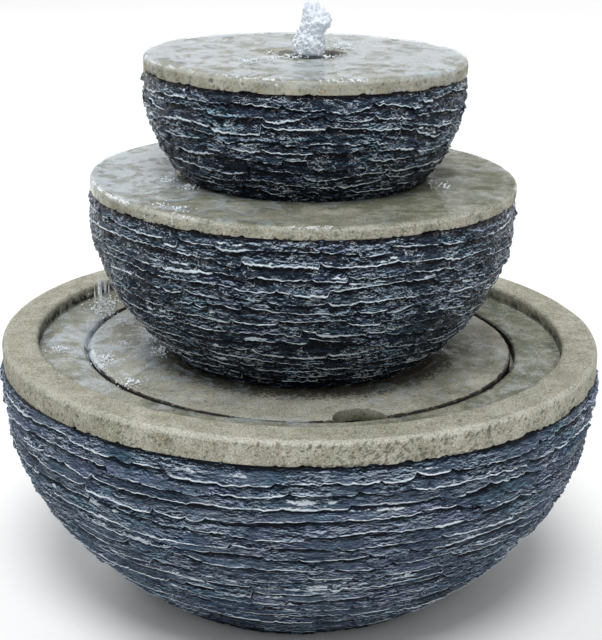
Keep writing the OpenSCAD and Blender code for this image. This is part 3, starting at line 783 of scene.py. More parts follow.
def carve_courses(piece, bowl, rows, first, nominal):
    """Moves the outer rows of a turned bowl to the lips and hollows of its plates."""
    spots = read_points(piece)
    row = read_rows(piece) - first
    column = np.rint(polar(spots)[0] / TURN * bowl.columns).astype(int) % bowl.columns
    round_angle = np.arange(bowl.columns) / bowl.columns * TURN
    low, plates = course_lines(bowl, nominal, np.random.default_rng(bowl.seed), round_angle)
    on_side = (row >= 0) & (row < len(rows))
    course, level = np.array(rows)[row[on_side]].T
    at = (course, column[on_side])
    stand, _, paint, tone, second, layer = (values[at] for values in plates)
    share = np.array(LIP_SHARES)[level]
    out = np.array(LIP_OUT)[level]
    extra = np.where(layer == level, second, 0)
    extra -= np.where(layer == level + 1, 0.25 * second, 0)
    z = low[at] * (1 - share) + low[course + 1, at[1]] * share
    z -= np.where((share == 1.0) & (course < bowl.courses - 1), 0.3 * MM, 0)
    a = round_angle[at[1]]
    lumps, chips, bulge = (
        size * MM * patches(a, z, TURN * bowl.top_r, wide * MM, tall * MM, bowl.seed + index)
        for index, size, wide, tall in ((1, 0.75, 10, 4), (2, 0.55, 4.2, 2.2), (3, 0.6, 40, 12)))
    r = side_r(bowl, z) - bowl.ledge * (1 - stand * (out + extra))
    r += np.minimum(bowl.rough * (lumps + chips) * (0.5 + 0.5 * share) + bulge, BOWL_MOST_PUSH)
    spots[on_side] = from_polar(a, r, z)
    write_points(piece, spots)
    painted = np.maximum(np.array(LIP_PAINT)[level], 2.2 * extra) * (0.5 + 0.5 * (course > 0))
    # The tone is each plate's own, with painted shade that darkens the lower courses.
    shade = tone - 1.3 * (1 - smooth(course / bowl.courses, 0, 0.6))
    for name, values in (("lip", painted), ("brush", paint * (course > 0)), ("hollow", 1 - out),
                         ("tone", shade)):
        whole = np.zeros(len(spots))
        whole[on_side] = values
        store(piece, name, whole)
    store(piece, "inner", 1.0 * (row >= len(rows)))


# %% [markdown]
# The bowls are as wide at the foot as their solids, and a little wider at the brim than the stone
# that covers it, because the lips of the plates stand out beyond the stone.

# %% Sizes read from the frame
def radius_near(node, height):
    """The largest radius of a solid within half a millimetre of a height."""
    spots = read_points(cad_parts[node])
    near = np.abs(spots[:, 2] - height) < 0.5 * MM
    return float(np.hypot(spots[near, 0], spots[near, 1]).max())


basin_lo, basin_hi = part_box("basin_bowl")
middle_lo, middle_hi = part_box("mid_shell")
top_lo, top_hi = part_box("top_shell")
grommet_lo, grommet_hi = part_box("cord_grommet")
basin_foot_r = radius_near("basin_bowl", basin_lo.z)
middle_foot_r = radius_near("mid_shell", middle_lo.z)
top_foot_r = radius_near("top_shell", top_lo.z)
print("feet", round(basin_foot_r, 4), round(middle_foot_r, 4), round(top_foot_r, 4))

# %% The three slate bowls
RIM_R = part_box("basin_rim")[1].x
MIDDLE_CAP_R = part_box("mid_cap")[1].x
TOP_CAP_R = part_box("top_cap")[1].x


def bowl_sizes(low, high, **sizes):
    return SimpleNamespace(foot_z=low.z, height=high.z - low.z, **sizes)


upper_wall = {"wall": 7 * MM, "floor_t": 7 * MM, "hole_r": 21.5 * MM}
slate_basin = slate_bowl("slate_basin", bowl_sizes(
    basin_lo, basin_hi, foot_r=basin_foot_r, top_r=RIM_R + 3.5 * MM, courses=19,
    ledge=4.8 * MM, wall=10 * MM, floor_t=12 * MM, hole_r=0, columns=604, seed=11,
    plate_long=80 * MM, rough=1.0))
slate_middle = slate_bowl("slate_middle", bowl_sizes(
    middle_lo, middle_hi, foot_r=middle_foot_r, top_r=MIDDLE_CAP_R + 2.5 * MM, courses=15,
    ledge=3.3 * MM, **upper_wall, columns=720, seed=23, plate_long=60 * MM, rough=1.2))
slate_top = slate_bowl("slate_top", bowl_sizes(
    top_lo, top_hi, foot_r=top_foot_r, top_r=TOP_CAP_R + 2 * MM, courses=10,
    ledge=3.0 * MM, **upper_wall, columns=640, seed=37, plate_long=44 * MM, rough=1.45))

# %% [markdown]
# The pump's lead would leave through a grommet in the basin's back wall, and four rubber feet sit
# in pockets under it. The slate is cut back round the grommet's flanges, so that they lie flush.

# %% The cord hole and the pockets for the rubber feet
GROMMET_IN_T, GROMMET_OUT_T, FLANGE_W = 2.5 * MM, 3 * MM, 3.5 * MM
CUT_PAST, BORE_PAST, FLANGE_PLAY = 20 * MM, 12 * MM, 1.5 * MM
exit_z, flange_r = (grommet_lo.z + grommet_hi.z) / 2, (grommet_hi.x - grommet_lo.x) / 2
wall_in, wall_out = grommet_lo.y + GROMMET_IN_T, grommet_hi.y - GROMMET_OUT_T
PAD_R, PAD_CIRCLE_R, PAD_SUNK = 11.1 * MM, 85 * MM, 2 * MM
cutters = [rod(flange_r + FLANGE_PLAY, (0, start, exit_z), (0, start + CUT_PAST, exit_z), True)
           for start in (wall_out, wall_in - CUT_PAST)]
for k in range(4):
    a = TURN * (k + 0.5) / 4
    at = (PAD_CIRCLE_R * math.cos(a), PAD_CIRCLE_R * math.sin(a))
    cutters.append(rod(PAD_R, (*at, basin_lo.z - 1 * MM), (*at, basin_lo.z + PAD_SUNK)))
cut_away(slate_basin, cutters)
cut_away(slate_basin, [rod(flange_r - FLANGE_W + 0.1 * MM, (0, wall_in - BORE_PAST, exit_z),
                           (0, wall_out + BORE_PAST, exit_z), True)])
print("basin cut:", len(slate_basin.data.polygons), "faces")
dress(slate_basin, basin_slate, "basin", "basin_slate", "basin_bowl")
dress(slate_middle, upper_slate, "middle_bowl", "upper_slate", "mid_shell")
dress(slate_top, upper_slate, "top_bowl", "upper_slate", "top_shell")

# %% [markdown]
# ## Cast stone
# The rim with its tray, the deck lid and the two caps are castings. Their outlines are plain, with
# edges rounded by the mould. What makes them stone is the wear: an edge that wanders a little,
# a grain of sand, and small air pits on the upright faces. All three are pushed into the mesh
# along its normals, and the pits are stored too, so that the finish can darken them.

# %% Stone outlines
def rounded_outline(corners):
    """Points along a closed outline. A corner is (radius, height, rounding, step before it)."""
    points = []
    for index, (r, z, bend, step) in enumerate(corners):
        here = Vector((r, z))
        before = Vector(corners[index - 1][:2])
        after = Vector(corners[(index + 1) % len(corners)][:2])
        start = here + (before - here).normalized() * bend
        end = here + (after - here).normalized() * bend
        left = before + (here - before).normalized() * corners[index - 1][2]
        runs = max(1, round((start - left).length / step))
        points += [tuple(left.lerp(start, k / runs)) for k in range(1, runs)]
        curve = [0.0, 0.25, 0.5, 0.75, 1.0] if bend > 0 else [0.5]
        points += [tuple(start * (1 - t) ** 2 + here * 2 * t * (1 - t) + end * t * t)
                   for t in curve]
    return points


STONE_ROUND, MOST_PUSH = 3 * MM, 0.35 * MM


def run_lengths(outline):
    """How far along its outline each row lies."""
    steps = np.linalg.norm(np.diff(np.array(outline), axis=0), axis=1)
    return np.concatenate([[0.0], np.cumsum(steps)])


def outline_foot(outline):
    """Largest radius of an outline, and the lowest height at which it gets there."""
    far = max(r for r, _ in outline)
    return far, min(z for r, z in outline if r > far - 0.1 * MM)


# %% Wear of a casting
PIT_DEEP, FOOT_WORN, RIPPLE_HIGH = 0.7 * MM, 1.3 * MM, 0.26 * MM


def air_pits(spots, share, count, seed):
    """0 to 1 for each vertex: how deep it lies in a pit. Share says where pits are likely."""
    dice = np.random.default_rng(seed)
    pit = np.zeros(len(spots))
    tree = KDTree(len(spots))
    for index, spot in enumerate(spots):
        tree.insert(spot, index)
    tree.balance()
    for centre in dice.choice(len(spots), count, p=share / share.sum()):
        size = dice.uniform(0.6, 0.9 + 0.9 * dice.uniform() ** 3) * MM
        for _, index, gap in tree.find_range(spots[centre], size * 1.4):
            pit[index] = max(pit[index], 1 - smooth(gap, 0.35 * size, 1.4 * size))
    return pit


def worn_foot(outline, angle, radius, height, girth, seed):
    """0 to 1: bites out of the lower edge of a casting's widest face."""
    face_r, face_foot = outline_foot(outline)
    by_foot = smooth(radius, face_r - 3 * MM, face_r - 1 * MM)
    by_foot *= smooth(face_foot + 3.2 * MM - height, 0, 3 * MM)
    bites = around(angle, int(girth / (6 * MM)), seed)
    bites += 0.6 * around(angle, int(girth / (2.5 * MM)), seed + 1)
    return by_foot * smooth(bites, 0.0, 1.0)


def weather(piece, outline, seed, grain, pits, where, wet):
    """Wears a turned casting: its faces wander, its grain stands out and pits open in it.

    Where and wet take bearing, radius and height: where pits are likely, and where water lies."""
    spots = read_points(piece)
    angle, radius = polar(spots)
    height = spots[:, 2]
    along = run_lengths(outline)[read_rows(piece)]
    girth = TURN * radius.max()
    push = 0.22 * MM * patches(angle, along, girth, 26 * MM, 12 * MM, seed)
    push += 0.5 * grain * patches(angle, along, girth, 5 * MM, 4 * MM, seed + 1)
    push += 0.5 * grain * patches(angle, along, girth, 2.6 * MM, 2.4 * MM, seed + 2)
    pit = air_pits(spots, where(angle, radius, height), pits, seed + 3)
    push -= PIT_DEEP * pit
    push -= FOOT_WORN * worn_foot(outline, angle, radius, height, girth, seed + 6)
    ripple = 0.6 * patches(angle, along, girth, 14 * MM, 7 * MM, seed + 4)
    ripple += 0.4 * patches(angle, along, girth, 7 * MM, 4 * MM, seed + 5)
    covered = wet(angle, radius, height)
    push = push * (1 - covered) + RIPPLE_HIGH * ripple * covered
    normals = numbers(piece.data.vertex_normals, "vector", 3)
    write_points(piece, spots + normals * np.minimum(push, MOST_PUSH)[:, None])
    store(piece, "pit", pit)
    return angle, radius, height


# %% [markdown]
# The rim is one casting: a square band with soft edges, then the wall and the floor of the sunken
# tray, which ends at the drain gap. Sand has worn out of its lower edge. The tray stays soaked,
# its wall is mouldy, and painted shade lines the drain gap in a dark band, except where the water
# floods it.

# %% Bearings of the water, in degrees from the front
SPILL, FLOODED, WET_SIDE = 272, 354, 275
GAP_SHADE = 3.2


def gap_shade_band(angle, widest, seed):
    """Width of the painted shade in a dark band beside the drain gap."""
    band = 0.9 * MM + widest * (1 - lobe(angle, SPILL, 34)) * (0.7 + 0.5 * around(angle, 60, seed))
    return band * (1 - 0.8 * lobe(angle, FLOODED, 17))


# %% The rim and its tray
TRAY_IN_R, TRAY_WALL_R, SKIRT_R = 145.5 * MM, 176.5 * MM, 189 * MM
rim_lo, rim_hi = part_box("basin_rim")
lid_lo, lid_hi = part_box("deck_lid")
RIM_TOP, RIM_FOOT = rim_hi.z, basin_hi.z
TRAY_TOP = middle_lo.z
TRAY_UNDER = TRAY_TOP - 8 * MM
rim_outline = rounded_outline([
    (TRAY_IN_R, TRAY_UNDER, 0.6 * MM, 6 * MM), (SKIRT_R, TRAY_UNDER, 0.6 * MM, 9 * MM),
    (SKIRT_R, RIM_FOOT, 0, 3 * MM), (RIM_R, RIM_FOOT, 1.0 * MM, 5 * MM),
    (RIM_R, RIM_TOP, 3.6 * MM, 1.15 * MM), (TRAY_WALL_R, RIM_TOP, 3.0 * MM, 1.3 * MM),
    (TRAY_WALL_R, TRAY_TOP, 1.4 * MM, 1.2 * MM), (TRAY_IN_R, TRAY_TOP, 1.2 * MM, 1.7 * MM)])
rim = turned("stone_rim", rim_outline, 900)
angle, radius, height = weather(
    rim, rim_outline, 41, 0.16 * MM, 900,
    lambda a, r, z: (r > RIM_R - 0.5 * MM) * (1 + 3 * lobe(a, 15, 13))
    + 0.12 * (z > TRAY_TOP - 1 * MM),
    lambda a, r, z: (z > TRAY_TOP - 1 * MM) * smooth(TRAY_TOP + 2 * MM - z, 0, 1 * MM)
    * smooth(TRAY_WALL_R - r, 0, 2 * MM))
in_tray = smooth(TRAY_TOP + 7 * MM - height, 0, 8 * MM) * (radius < TRAY_WALL_R + 1 * MM)
in_tray *= height > TRAY_UNDER + 1 * MM
store(rim, "damp", in_tray * (0.36 + 0.64 * lobe(angle, WET_SIDE, 66)))
# Painted shade: the outer face is darker at the left.
shaded_outer_face = smooth(radius, RIM_R - 4 * MM, RIM_R - 2 * MM) * lobe(angle, 308, 32)
soaked = (0.6 + 0.4 * rumple(angle, radius, 40, 14 * MM, 44) + 0.25 * lobe(angle, 85, 50)
          + 0.35 * smooth(height, TRAY_TOP + 1 * MM, TRAY_TOP + 4 * MM))
store(rim, "soak", in_tray * soaked + 0.30 * shaded_outer_face)
wall = smooth(height, TRAY_TOP + 0.5 * MM, TRAY_TOP + 3 * MM) * (radius < TRAY_WALL_R + 1.5 * MM)
wall *= smooth(RIM_TOP - height, 0, 9 * MM)
wall *= 0.55 + 0.7 * lobe(angle, 255, 60) + 0.45 * lobe(angle, 95, 40)
gap_shade_w = gap_shade_band(angle, 0.8 * MM, 58)
gap = 1 - smooth(radius, TRAY_IN_R + 0.4 * gap_shade_w, TRAY_IN_R + gap_shade_w)
# Mould on the tray wall, and painted shade in a dark band beside the drain gap.
store(rim, "mould", np.maximum(wall, GAP_SHADE * gap))
from_bend = np.hypot(np.maximum(radius - (RIM_R - 3.2 * MM), 0),
                     np.maximum(height - (RIM_TOP - 3.2 * MM), 0))
# Painted highlight along the rim's top outer edge, strongest in front.
top_edge_highlight = (np.abs(from_bend - 2.6 * MM) < 0.7 * MM) * (height > RIM_TOP - 3 * MM)
store(rim, "edge", top_edge_highlight * (radius > RIM_R - 3 * MM) * (0.35 + 0.65 * lobe(angle, 350, 50)))

# %% [markdown]
# The lid rests on six lugs that hang under the tray. Nobody sees them until the lid is out, so
# each is a plain block with softened edges, copied round and joined to the rim's casting.

# %% The lugs
LUG_COUNT, LUG_ANGLE = 6, math.radians(14)
LUG_IN_R, LUG_OUT_R = 137 * MM, 152.5 * MM
LUG_MIDDLE_R = 0.5 * (LUG_IN_R + LUG_OUT_R)
LUG_FOOT, LUG_TOP, LUG_PLAY = rim_lo.z, TRAY_UNDER, 0.3 * MM
deselect()
bpy.ops.mesh.primitive_cube_add(size=1, location=(
    LUG_MIDDLE_R, 0, 0.5 * (LUG_FOOT + LUG_TOP) + LUG_PLAY))
lug = bpy.context.object
lug.scale = (LUG_OUT_R - LUG_IN_R, LUG_ANGLE * LUG_MIDDLE_R, LUG_TOP - LUG_FOOT - 2 * LUG_PLAY)
bpy.ops.object.transform_apply(location=True, rotation=True, scale=True)
apply_modifier(lug, "BEVEL", width=0.8 * MM, segments=2)
lugs = [lug]
for k in range(1, LUG_COUNT):
    copy = lug.copy()
    copy.data = lug.data.copy()
    bpy.context.scene.collection.objects.link(copy)
    copy.data.transform(Matrix.Rotation(TURN * k / LUG_COUNT, 4, "Z"))
    lugs.append(copy)
joined(rim, lugs)
dress(rim, cast_stone, "basin", "cast_stone", "basin_rim")

# %% [markdown]
# The lid is a disc with a low collar that centres the middle bowl, and a half-round finger notch
# in its edge. It is turned whole, and the notch is cut afterwards with a cylinder, as a mould
# would leave it. Grit washed off the slate lies round the bowl's foot.

# %% The deck lid
LID_R, HOSE_HOLE_R, COLLAR_R = lid_hi.x, 7.5 * MM, 20 * MM
NOTCH_R, NOTCH_ANGLE = 17 * MM, math.radians(15)
LID_FOOT, COLLAR_TOP = lid_lo.z, lid_hi.z
lid_outline = rounded_outline([
    (HOSE_HOLE_R, LID_FOOT, 0.5 * MM, 4 * MM), (LID_R, LID_FOOT, 0.8 * MM, 12 * MM),
    (LID_R, TRAY_TOP, 1.6 * MM, 1.6 * MM), (COLLAR_R, TRAY_TOP, 0, 1.9 * MM),
    (COLLAR_R, COLLAR_TOP, 0.8 * MM, 3 * MM), (HOSE_HOLE_R, COLLAR_TOP, 0.8 * MM, 3 * MM)])
lid = turned("stone_lid", lid_outline, 640)
angle, radius, height = weather(lid, lid_outline, 53, 0.15 * MM, 350,
                                lambda a, r, z: 1.0 * (z > TRAY_TOP - 1 * MM),
                                lambda a, r, z: (z > TRAY_TOP - 1 * MM) * (r > middle_foot_r))
open_air = 0.12 + 0.88 * smooth(radius, middle_foot_r - 3 * MM, middle_foot_r)
store(lid, "damp", (height > LID_FOOT + 1 * MM) * open_air
      * (0.5 + 0.5 * lobe(angle, WET_SIDE, 60)))
# Darker close to the bowl's foot.
by_bowl = 1.25 * (1 - smooth(radius, middle_foot_r + 3 * MM, middle_foot_r + 22 * MM))
gap_shade_w = gap_shade_band(angle, 0.9 * MM, 57)
by_gap = smooth(radius, LID_R - gap_shade_w, LID_R - 0.4 * gap_shade_w)
by_gap = np.maximum(by_gap, 1.0 * (height < TRAY_TOP - 1 * MM) * (radius > 100 * MM))
ring = smooth(middle_foot_r + 13 * MM - radius, 0, 11 * MM)
ring *= smooth(radius, middle_foot_r - 14 * MM, middle_foot_r - 5 * MM)
# Painted shade beside the drain gap and on the lid's edge below it, and a darker ring round the
# bowl's foot.
store(lid, "mould", GAP_SHADE * by_gap + 0.75 * ring)
store(lid, "grime", smooth(115 * MM - radius, 0, 17 * MM) * (0.6 + 0.4 * lobe(angle, 25, 50))
      * (radius > middle_foot_r) * (1 - 0.8 * lobe(angle, WET_SIDE, 35)))
store(lid, "soak", np.clip(0.02 + 0.7 * by_bowl + 0.3 * rumple(angle, radius, 36, 14 * MM, 54)
                           + 0.4 * lobe(angle, 75, 45), 0, 1) * (height > LID_FOOT + 1 * MM))

# %% The finger notch
NOTCH_X, NOTCH_Y = LID_R * math.sin(NOTCH_ANGLE), -LID_R * math.cos(NOTCH_ANGLE)


def cut_notch(piece, play=0.0):
    cut_away(piece, [rod(NOTCH_R + play, (NOTCH_X, NOTCH_Y, TRAY_TOP - CUT_PAST),
                         (NOTCH_X, NOTCH_Y, TRAY_TOP + CUT_PAST), sides=72)])


cut_notch(lid)
spots = read_points(lid)
from_notch = np.hypot(spots[:, 0] - NOTCH_X, spots[:, 1] - NOTCH_Y)
in_notch = (from_notch < NOTCH_R + 0.4 * MM) & (spots[:, 2] < TRAY_TOP - 0.2 * MM)
# Inside the notch the stone is soaked and a little darker.
for name, value in (("soak", 1.0), ("mould", 0.35)):
    layer = lid.data.attributes[name].data
    values = numbers(layer, "value", kind=np.float32)
    values[in_notch] = value
    layer.foreach_set("value", values)
dress(lid, cast_stone, "deck", "cast_stone", "deck_lid")

# %% [markdown]
# ## Caps
# A cap is a flat disc with a rounded upper edge. A rib under it sits inside the slate and keeps
# it in the middle. The top cap has a shallow dish for the nozzle, and the middle one carries the
# collar of the top bowl. The top cap is wet all over, the middle one mostly on the left.

# %% Outlines of the caps
RIB_W, RIB_H = 6 * MM, 4 * MM


def cap_outline(cap_r, foot, top, rib_r, hole_r, middle):
    """Outline of a cap from its rib round to the hole. Middle adds the corners round the hole."""
    return rounded_outline([
        (hole_r, foot, 0.3 * MM, 6 * MM), (rib_r - RIB_W, foot, 0, 12 * MM),
        (rib_r - RIB_W, foot - RIB_H, 0.6 * MM, 4 * MM), (rib_r, foot - RIB_H, 0.6 * MM, 6 * MM),
        (rib_r, foot, 0, 4 * MM), (cap_r, foot, 0.8 * MM, 6 * MM),
        (cap_r, top, 3.0 * MM, 1.0 * MM)] + middle)


mid_cap_lo, mid_cap_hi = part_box("mid_cap")
top_cap_lo, top_cap_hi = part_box("top_cap")
MID_TOP, TOP_TOP = top_lo.z, top_cap_hi.z
mid_outline = cap_outline(MIDDLE_CAP_R, middle_hi.z, MID_TOP, 132 * MM, HOSE_HOLE_R, [
    (COLLAR_R, MID_TOP, 0, 1.7 * MM), (COLLAR_R, mid_cap_hi.z, 0.8 * MM, 3 * MM),
    (HOSE_HOLE_R, mid_cap_hi.z, 0.8 * MM, 3 * MM)])
DISH_R, DISH_FOOT_R, DISH_Z, STEM_HOLE_R = 20 * MM, 13.5 * MM, 356 * MM, 8.1 * MM
top_outline = cap_outline(TOP_CAP_R, top_hi.z, TOP_TOP, 96.2 * MM, STEM_HOLE_R, [
    (DISH_R, TOP_TOP, 1.2 * MM, 1.4 * MM), (DISH_FOOT_R, DISH_Z, 0.5 * MM, 1.4 * MM),
    (STEM_HOLE_R, DISH_Z, 0.3 * MM, 3 * MM)])


# %% The two caps
def wear_cap(cap, outline, cap_r, top, foot_r, seed, flooded):
    """Weathers a cap: stores where it is damp, soaked and dark in the dish, and its painted edge
    highlight.
    """
    angle, radius, height = weather(cap, outline, seed, 0.14 * MM, 150,
                                    lambda a, r, z: 1.0 * (r > cap_r - 0.6 * MM) + 0.02,
                                    lambda a, r, z: (z > top - 0.8 * MM) * (r > foot_r))
    open_air = 0.12 + 0.88 * smooth(radius, foot_r - 3 * MM, foot_r)
    on_top = smooth(height, top - 2.6 * MM, top - 0.6 * MM)
    drips = np.clip(0.45 + 0.9 * around(angle, 90, seed + 9), 0, 1)
    shine = 1.0 if flooded else 0.40 + 0.60 * lobe(angle, 268, 62)
    in_dish = flooded * (height > top - 5 * MM)
    # Darker at the right of the dish, and a dark line along its front lip.
    shade = 2.4 * lobe(angle, 105, 40) * smooth(30 * MM - radius, 0, 7 * MM)
    shade += 2.0 * lobe(angle, 11, 24) * np.exp(-((radius - 20.8 * MM) / (1.6 * MM)) ** 2)
    still = 1 - 0.85 * np.clip(shade, 0, 1) * in_dish
    # Water soaks in by patches on top and in drips down the side. The top is darker near the foot
    # of the bowl above, and the side darker towards its foot.
    by_foot = smooth(foot_r + 26 * MM - radius, 0, 22 * MM) * lobe(angle, 15, 60)
    spread = np.clip(0.5 + 0.4 * rumple(angle, radius, 30, 16 * MM, seed + 8) + by_foot
                     + 0.5 * lobe(angle, 80, 45) * (not flooded), 0, 1)
    low_edge = smooth(top - height, 9 * MM, 17 * MM) * (0.35 + 0.5 * lobe(angle, 300, 40))
    side = 0.3 * drips + low_edge + 0.35 * lobe(angle, 300, 32)
    stains = {
        "slick": np.full(len(angle), flooded),
        "damp": np.maximum(on_top * shine * still * open_air, drips * (radius > cap_r - 5 * MM)),
        "mould": np.maximum(0.5 * smooth(DISH_R + 3 * MM - radius, 0, 4 * MM), shade) * in_dish,
        "soak": np.maximum(on_top * spread, side * (radius > cap_r - 4 * MM)),
        # Painted highlight along the cap's top edge.
        "edge": (smooth(radius, cap_r - 2.5 * MM, cap_r - 1 * MM)
                 * smooth(height, top - 3 * MM, top - 1.2 * MM))}
    for name, values in stains.items():
        store(cap, name, values)


stone_mid_cap = turned("stone_mid_cap", mid_outline, 720)
stone_top_cap = turned("stone_top_cap", top_outline, 640)
wear_cap(stone_mid_cap, mid_outline, MIDDLE_CAP_R, MID_TOP, top_foot_r, 61, False)
wear_cap(stone_top_cap, top_outline, TOP_CAP_R, TOP_TOP, 0, 71, True)
dress(stone_mid_cap, cast_stone, "middle_bowl", "cast_stone", "mid_cap")
dress(stone_top_cap, cast_stone, "top_bowl", "cast_stone", "top_cap")

# %% [markdown]
# ## Films of water
# Water spreads over each cap, the lid and the tray. A film is a thin turned sheet whose upper side
# gets ripples. Its underside lies inside the stone, and where its thickness falls below nothing it
# dips out of sight, which gives it a ragged shore. Over a cap's edge it gathers in a rounded lip
# and runs down in narrow rivulets.

# %% A film
FILM_SUNK, FILM_HIDDEN = 0.9 * MM, 0.5 * MM


def surface_path(runs, step):
    """Points and outward normals along a surface that is drawn as (radius, height) corners."""
    points = [runs[0]]
    for start, end in zip(runs, runs[1:]):
        count = max(1, round(math.dist(start, end) / step))
        points += [(start[0] + (end[0] - start[0]) * k / count,
                    start[1] + (end[1] - start[1]) * k / count) for k in range(1, count + 1)]
    points = np.array(points)
    way = np.gradient(points, axis=0)
    way /= np.linalg.norm(way, axis=1)[:, None]
    return points, np.stack([-way[:, 1], way[:, 0]], axis=1)


def edge_corners(cap_r, top, foot):
    """The rounded edge of a cap, then its upright side down to the slate."""
    arc = [(cap_r - STONE_ROUND + STONE_ROUND * math.sin(t),
            top - STONE_ROUND + STONE_ROUND * math.cos(t)) for t in np.linspace(0, TURN / 4, 6)]
    return arc + [(cap_r, foot + 1.2 * MM)]


def water_film(name, corners, step, columns, seed, depth, sheen, foam):
    """A sheet of water along a surface. Depth, sheen and foam take angle and distance along it."""
    points, normals = surface_path(corners, step)
    count = len(points)
    keep = sorted({0, count // 2, count - 1} | set(range(count - 9, count, 4)))
    under = (points - normals * FILM_SUNK)[keep][::-1]
    upper = points + normals * FILM_HIDDEN
    film = turned(name, [tuple(p) for p in np.concatenate([upper, under])], columns)
    spots = read_points(film)
    row = read_rows(film)
    angle, _ = polar(spots)
    on_top = row < count
    a, r = angle[on_top], row[on_top]
    way = run_lengths(points)[r]
    girth = TURN * points[:, 0].max()
    ripple = 0.6 * patches(a, way, girth, 15 * MM, 6 * MM, seed)
    ripple += 0.4 * patches(a, way, girth, 6 * MM, 3 * MM, seed + 1)
    thick = depth(a, points[r, 0], way) + 0.22 * MM * ripple
    thick = np.where((r == 0) | (r == count - 1), -FILM_HIDDEN, thick)
    place = points[r] + normals[r] * np.maximum(thick, -FILM_HIDDEN)[:, None]
    spots[on_top] = from_polar(a, place[:, 0], place[:, 1])
    write_points(film, spots)
    for label, value in (("sheen", sheen), ("foam", foam)):
        values = np.zeros(len(spots))
        values[on_top] = np.clip(value(a, points[r, 0], way), 0, 1)
        store(film, label, values)
    return film


# %% Film and rivulets on a cap
RADIAN = 57.3  # degrees


def cap_film(name, inner_r, cap_r, top, foot, columns, seed, body, sheen, reach, runs):
    """The film over a cap, its lip at the edge, and rivulets of (bearing, width, strength)."""
    flat = cap_r - STONE_ROUND - inner_r
    bend = STONE_ROUND * TURN / 4

    def over(way):
        return smooth(way, flat, flat + bend)

    def rivulets(a):
        wide = 0.9 / cap_r * RADIAN * MM
        return np.clip(sum(h * lobe(a, c, w * wide) for c, w, h in runs), 0, 1)

    def shore(a):
        return reach * (1 + 0.6 * around(a, 46, seed + 5) + 0.4 * around(a, 120, seed + 6))

    def depth(a, r, way):
        down = way - flat
        lip = 0.35 * MM * np.exp(-((down - 1.0 * MM) / (2.2 * MM)) ** 2)
        body_of_water = 0.75 * MM + lip - 1.6 * MM * smooth(down, shore(a), shore(a) + 1.6 * MM)
        run = rivulets(a) * (1.1 * MM - 0.3 * MM * over(way))
        return np.maximum(body_of_water, np.where(down > 0, run - 0.25 * MM, 0))

    # Foam here is froth and painted highlights along the lip and down the rivulets.
    def foam(a, r, way):
        down = way - flat
        lip = np.exp(-((down - 0.5 * bend) / (1.5 * MM)) ** 2)
        lip *= smooth(around(a, 70, seed + 7) + 0.5 * lobe(a, 330, 30), -0.2, 0.5)
        return np.maximum(0.86 * lip, rivulets(a) * smooth(down, -4 * MM, 1 * MM) * 0.8)

    corners = [(inner_r, top)] + edge_corners(cap_r, top, foot)
    film = water_film(name, corners, 1.2 * MM, columns, seed, depth,
                      lambda a, r, way: sheen(a, r) * (1 - 0.8 * over(way)), foam)
    dress(film, water_film_finish, body, "water", sharp=60)


# %% [markdown]
# The top cap's film has a painted sheen all round, with faint rings about the dish. The middle
# one's shines on the left, where most of the water runs. The rivulets stand where the photo shows
# them, and a few more run down at the back.

# %% The films on the two caps
def top_sheen(a, r):
    near = smooth(r, 17 * MM, 40 * MM)
    rings = 0.16 * np.cos(r / (3.4 * MM)) * (1 - smooth(r, 35 * MM, 60 * MM))
    return near * (1.0 + rings - 0.32 * lobe(a, 5, 50) * smooth(r, 50 * MM, 90 * MM))


def middle_sheen(a, r):
    return 1.05 * lobe(a, 272, 48) + 0.15


cap_film("water_on_top_cap", 11 * MM, TOP_CAP_R, TOP_TOP, top_hi.z, 520, 81, "top_bowl",
         top_sheen, 5 * MM,
         ((339, 1.6, 1), (347, 1.2, 0.7), (351.5, 2.2, 1), (12, 1.8, 1), (24, 1.2, 0.8),
          (328, 1.4, 0.8), (290, 2, 0.9), (60, 1.6, 0.9), (95, 2, 0.8), (150, 2, 1),
          (205, 2, 1), (243, 2, 0.8)))
cap_film("water_on_middle_cap", top_foot_r + 1.5 * MM, MIDDLE_CAP_R, MID_TOP, middle_hi.z, 640, 91,
         "middle_bowl", middle_sheen, 3.4 * MM,
         ((318, 1.8, 1), (327, 2.4, 1), (334, 1.4, 0.8), (301, 1.6, 0.8), (283, 2, 0.9),
          (262, 2.4, 1), (249, 3, 1), (4, 1.4, 0.6), (30, 1.4, 0.7), (120, 2, 1),
          (131, 2.4, 1), (175, 2, 0.9), (214, 2, 0.8)))

# %% [markdown]
# Water lies in pools on the lid and in the tray, so both get a film as well. It ebbs beside the
# drain gap, where the water runs away, except at the left and in front, where it floods the gap.

# %% Films on the lid and in the tray
def lid_depth(a, r, way):
    pool = 0.55 * MM + 0.5 * MM * rumple(a, r, 26, 16 * MM, 101)
    from_gap = np.abs(r - 0.5 * (LID_R + TRAY_IN_R))
    ebb = (1 - smooth(from_gap, 2.4 * MM, 4.5 * MM)) * (1 - lobe(a, SPILL, 34))
    ebb *= 1 - 0.9 * lobe(a, FLOODED, 17)
    return pool + 0.5 * MM * lobe(a, 285, 50) - 2 * MM * ebb


def lid_sheen(a, r, way):
    by_gap = smooth(r, LID_R - 4 * MM, LID_R - 2 * MM) * smooth(TRAY_IN_R + 4 * MM, r, r + 2 * MM)
    return (0.42 * lobe(a, 278, 42) + 0.14 + 0.08 * lobe(a, 90, 40)
            + by_gap * (0.4 * lobe(a, WET_SIDE, 30) + 0.5 * lobe(a, FLOODED, 17)))


def no_foam(a, r, way):
    return np.zeros(len(a))


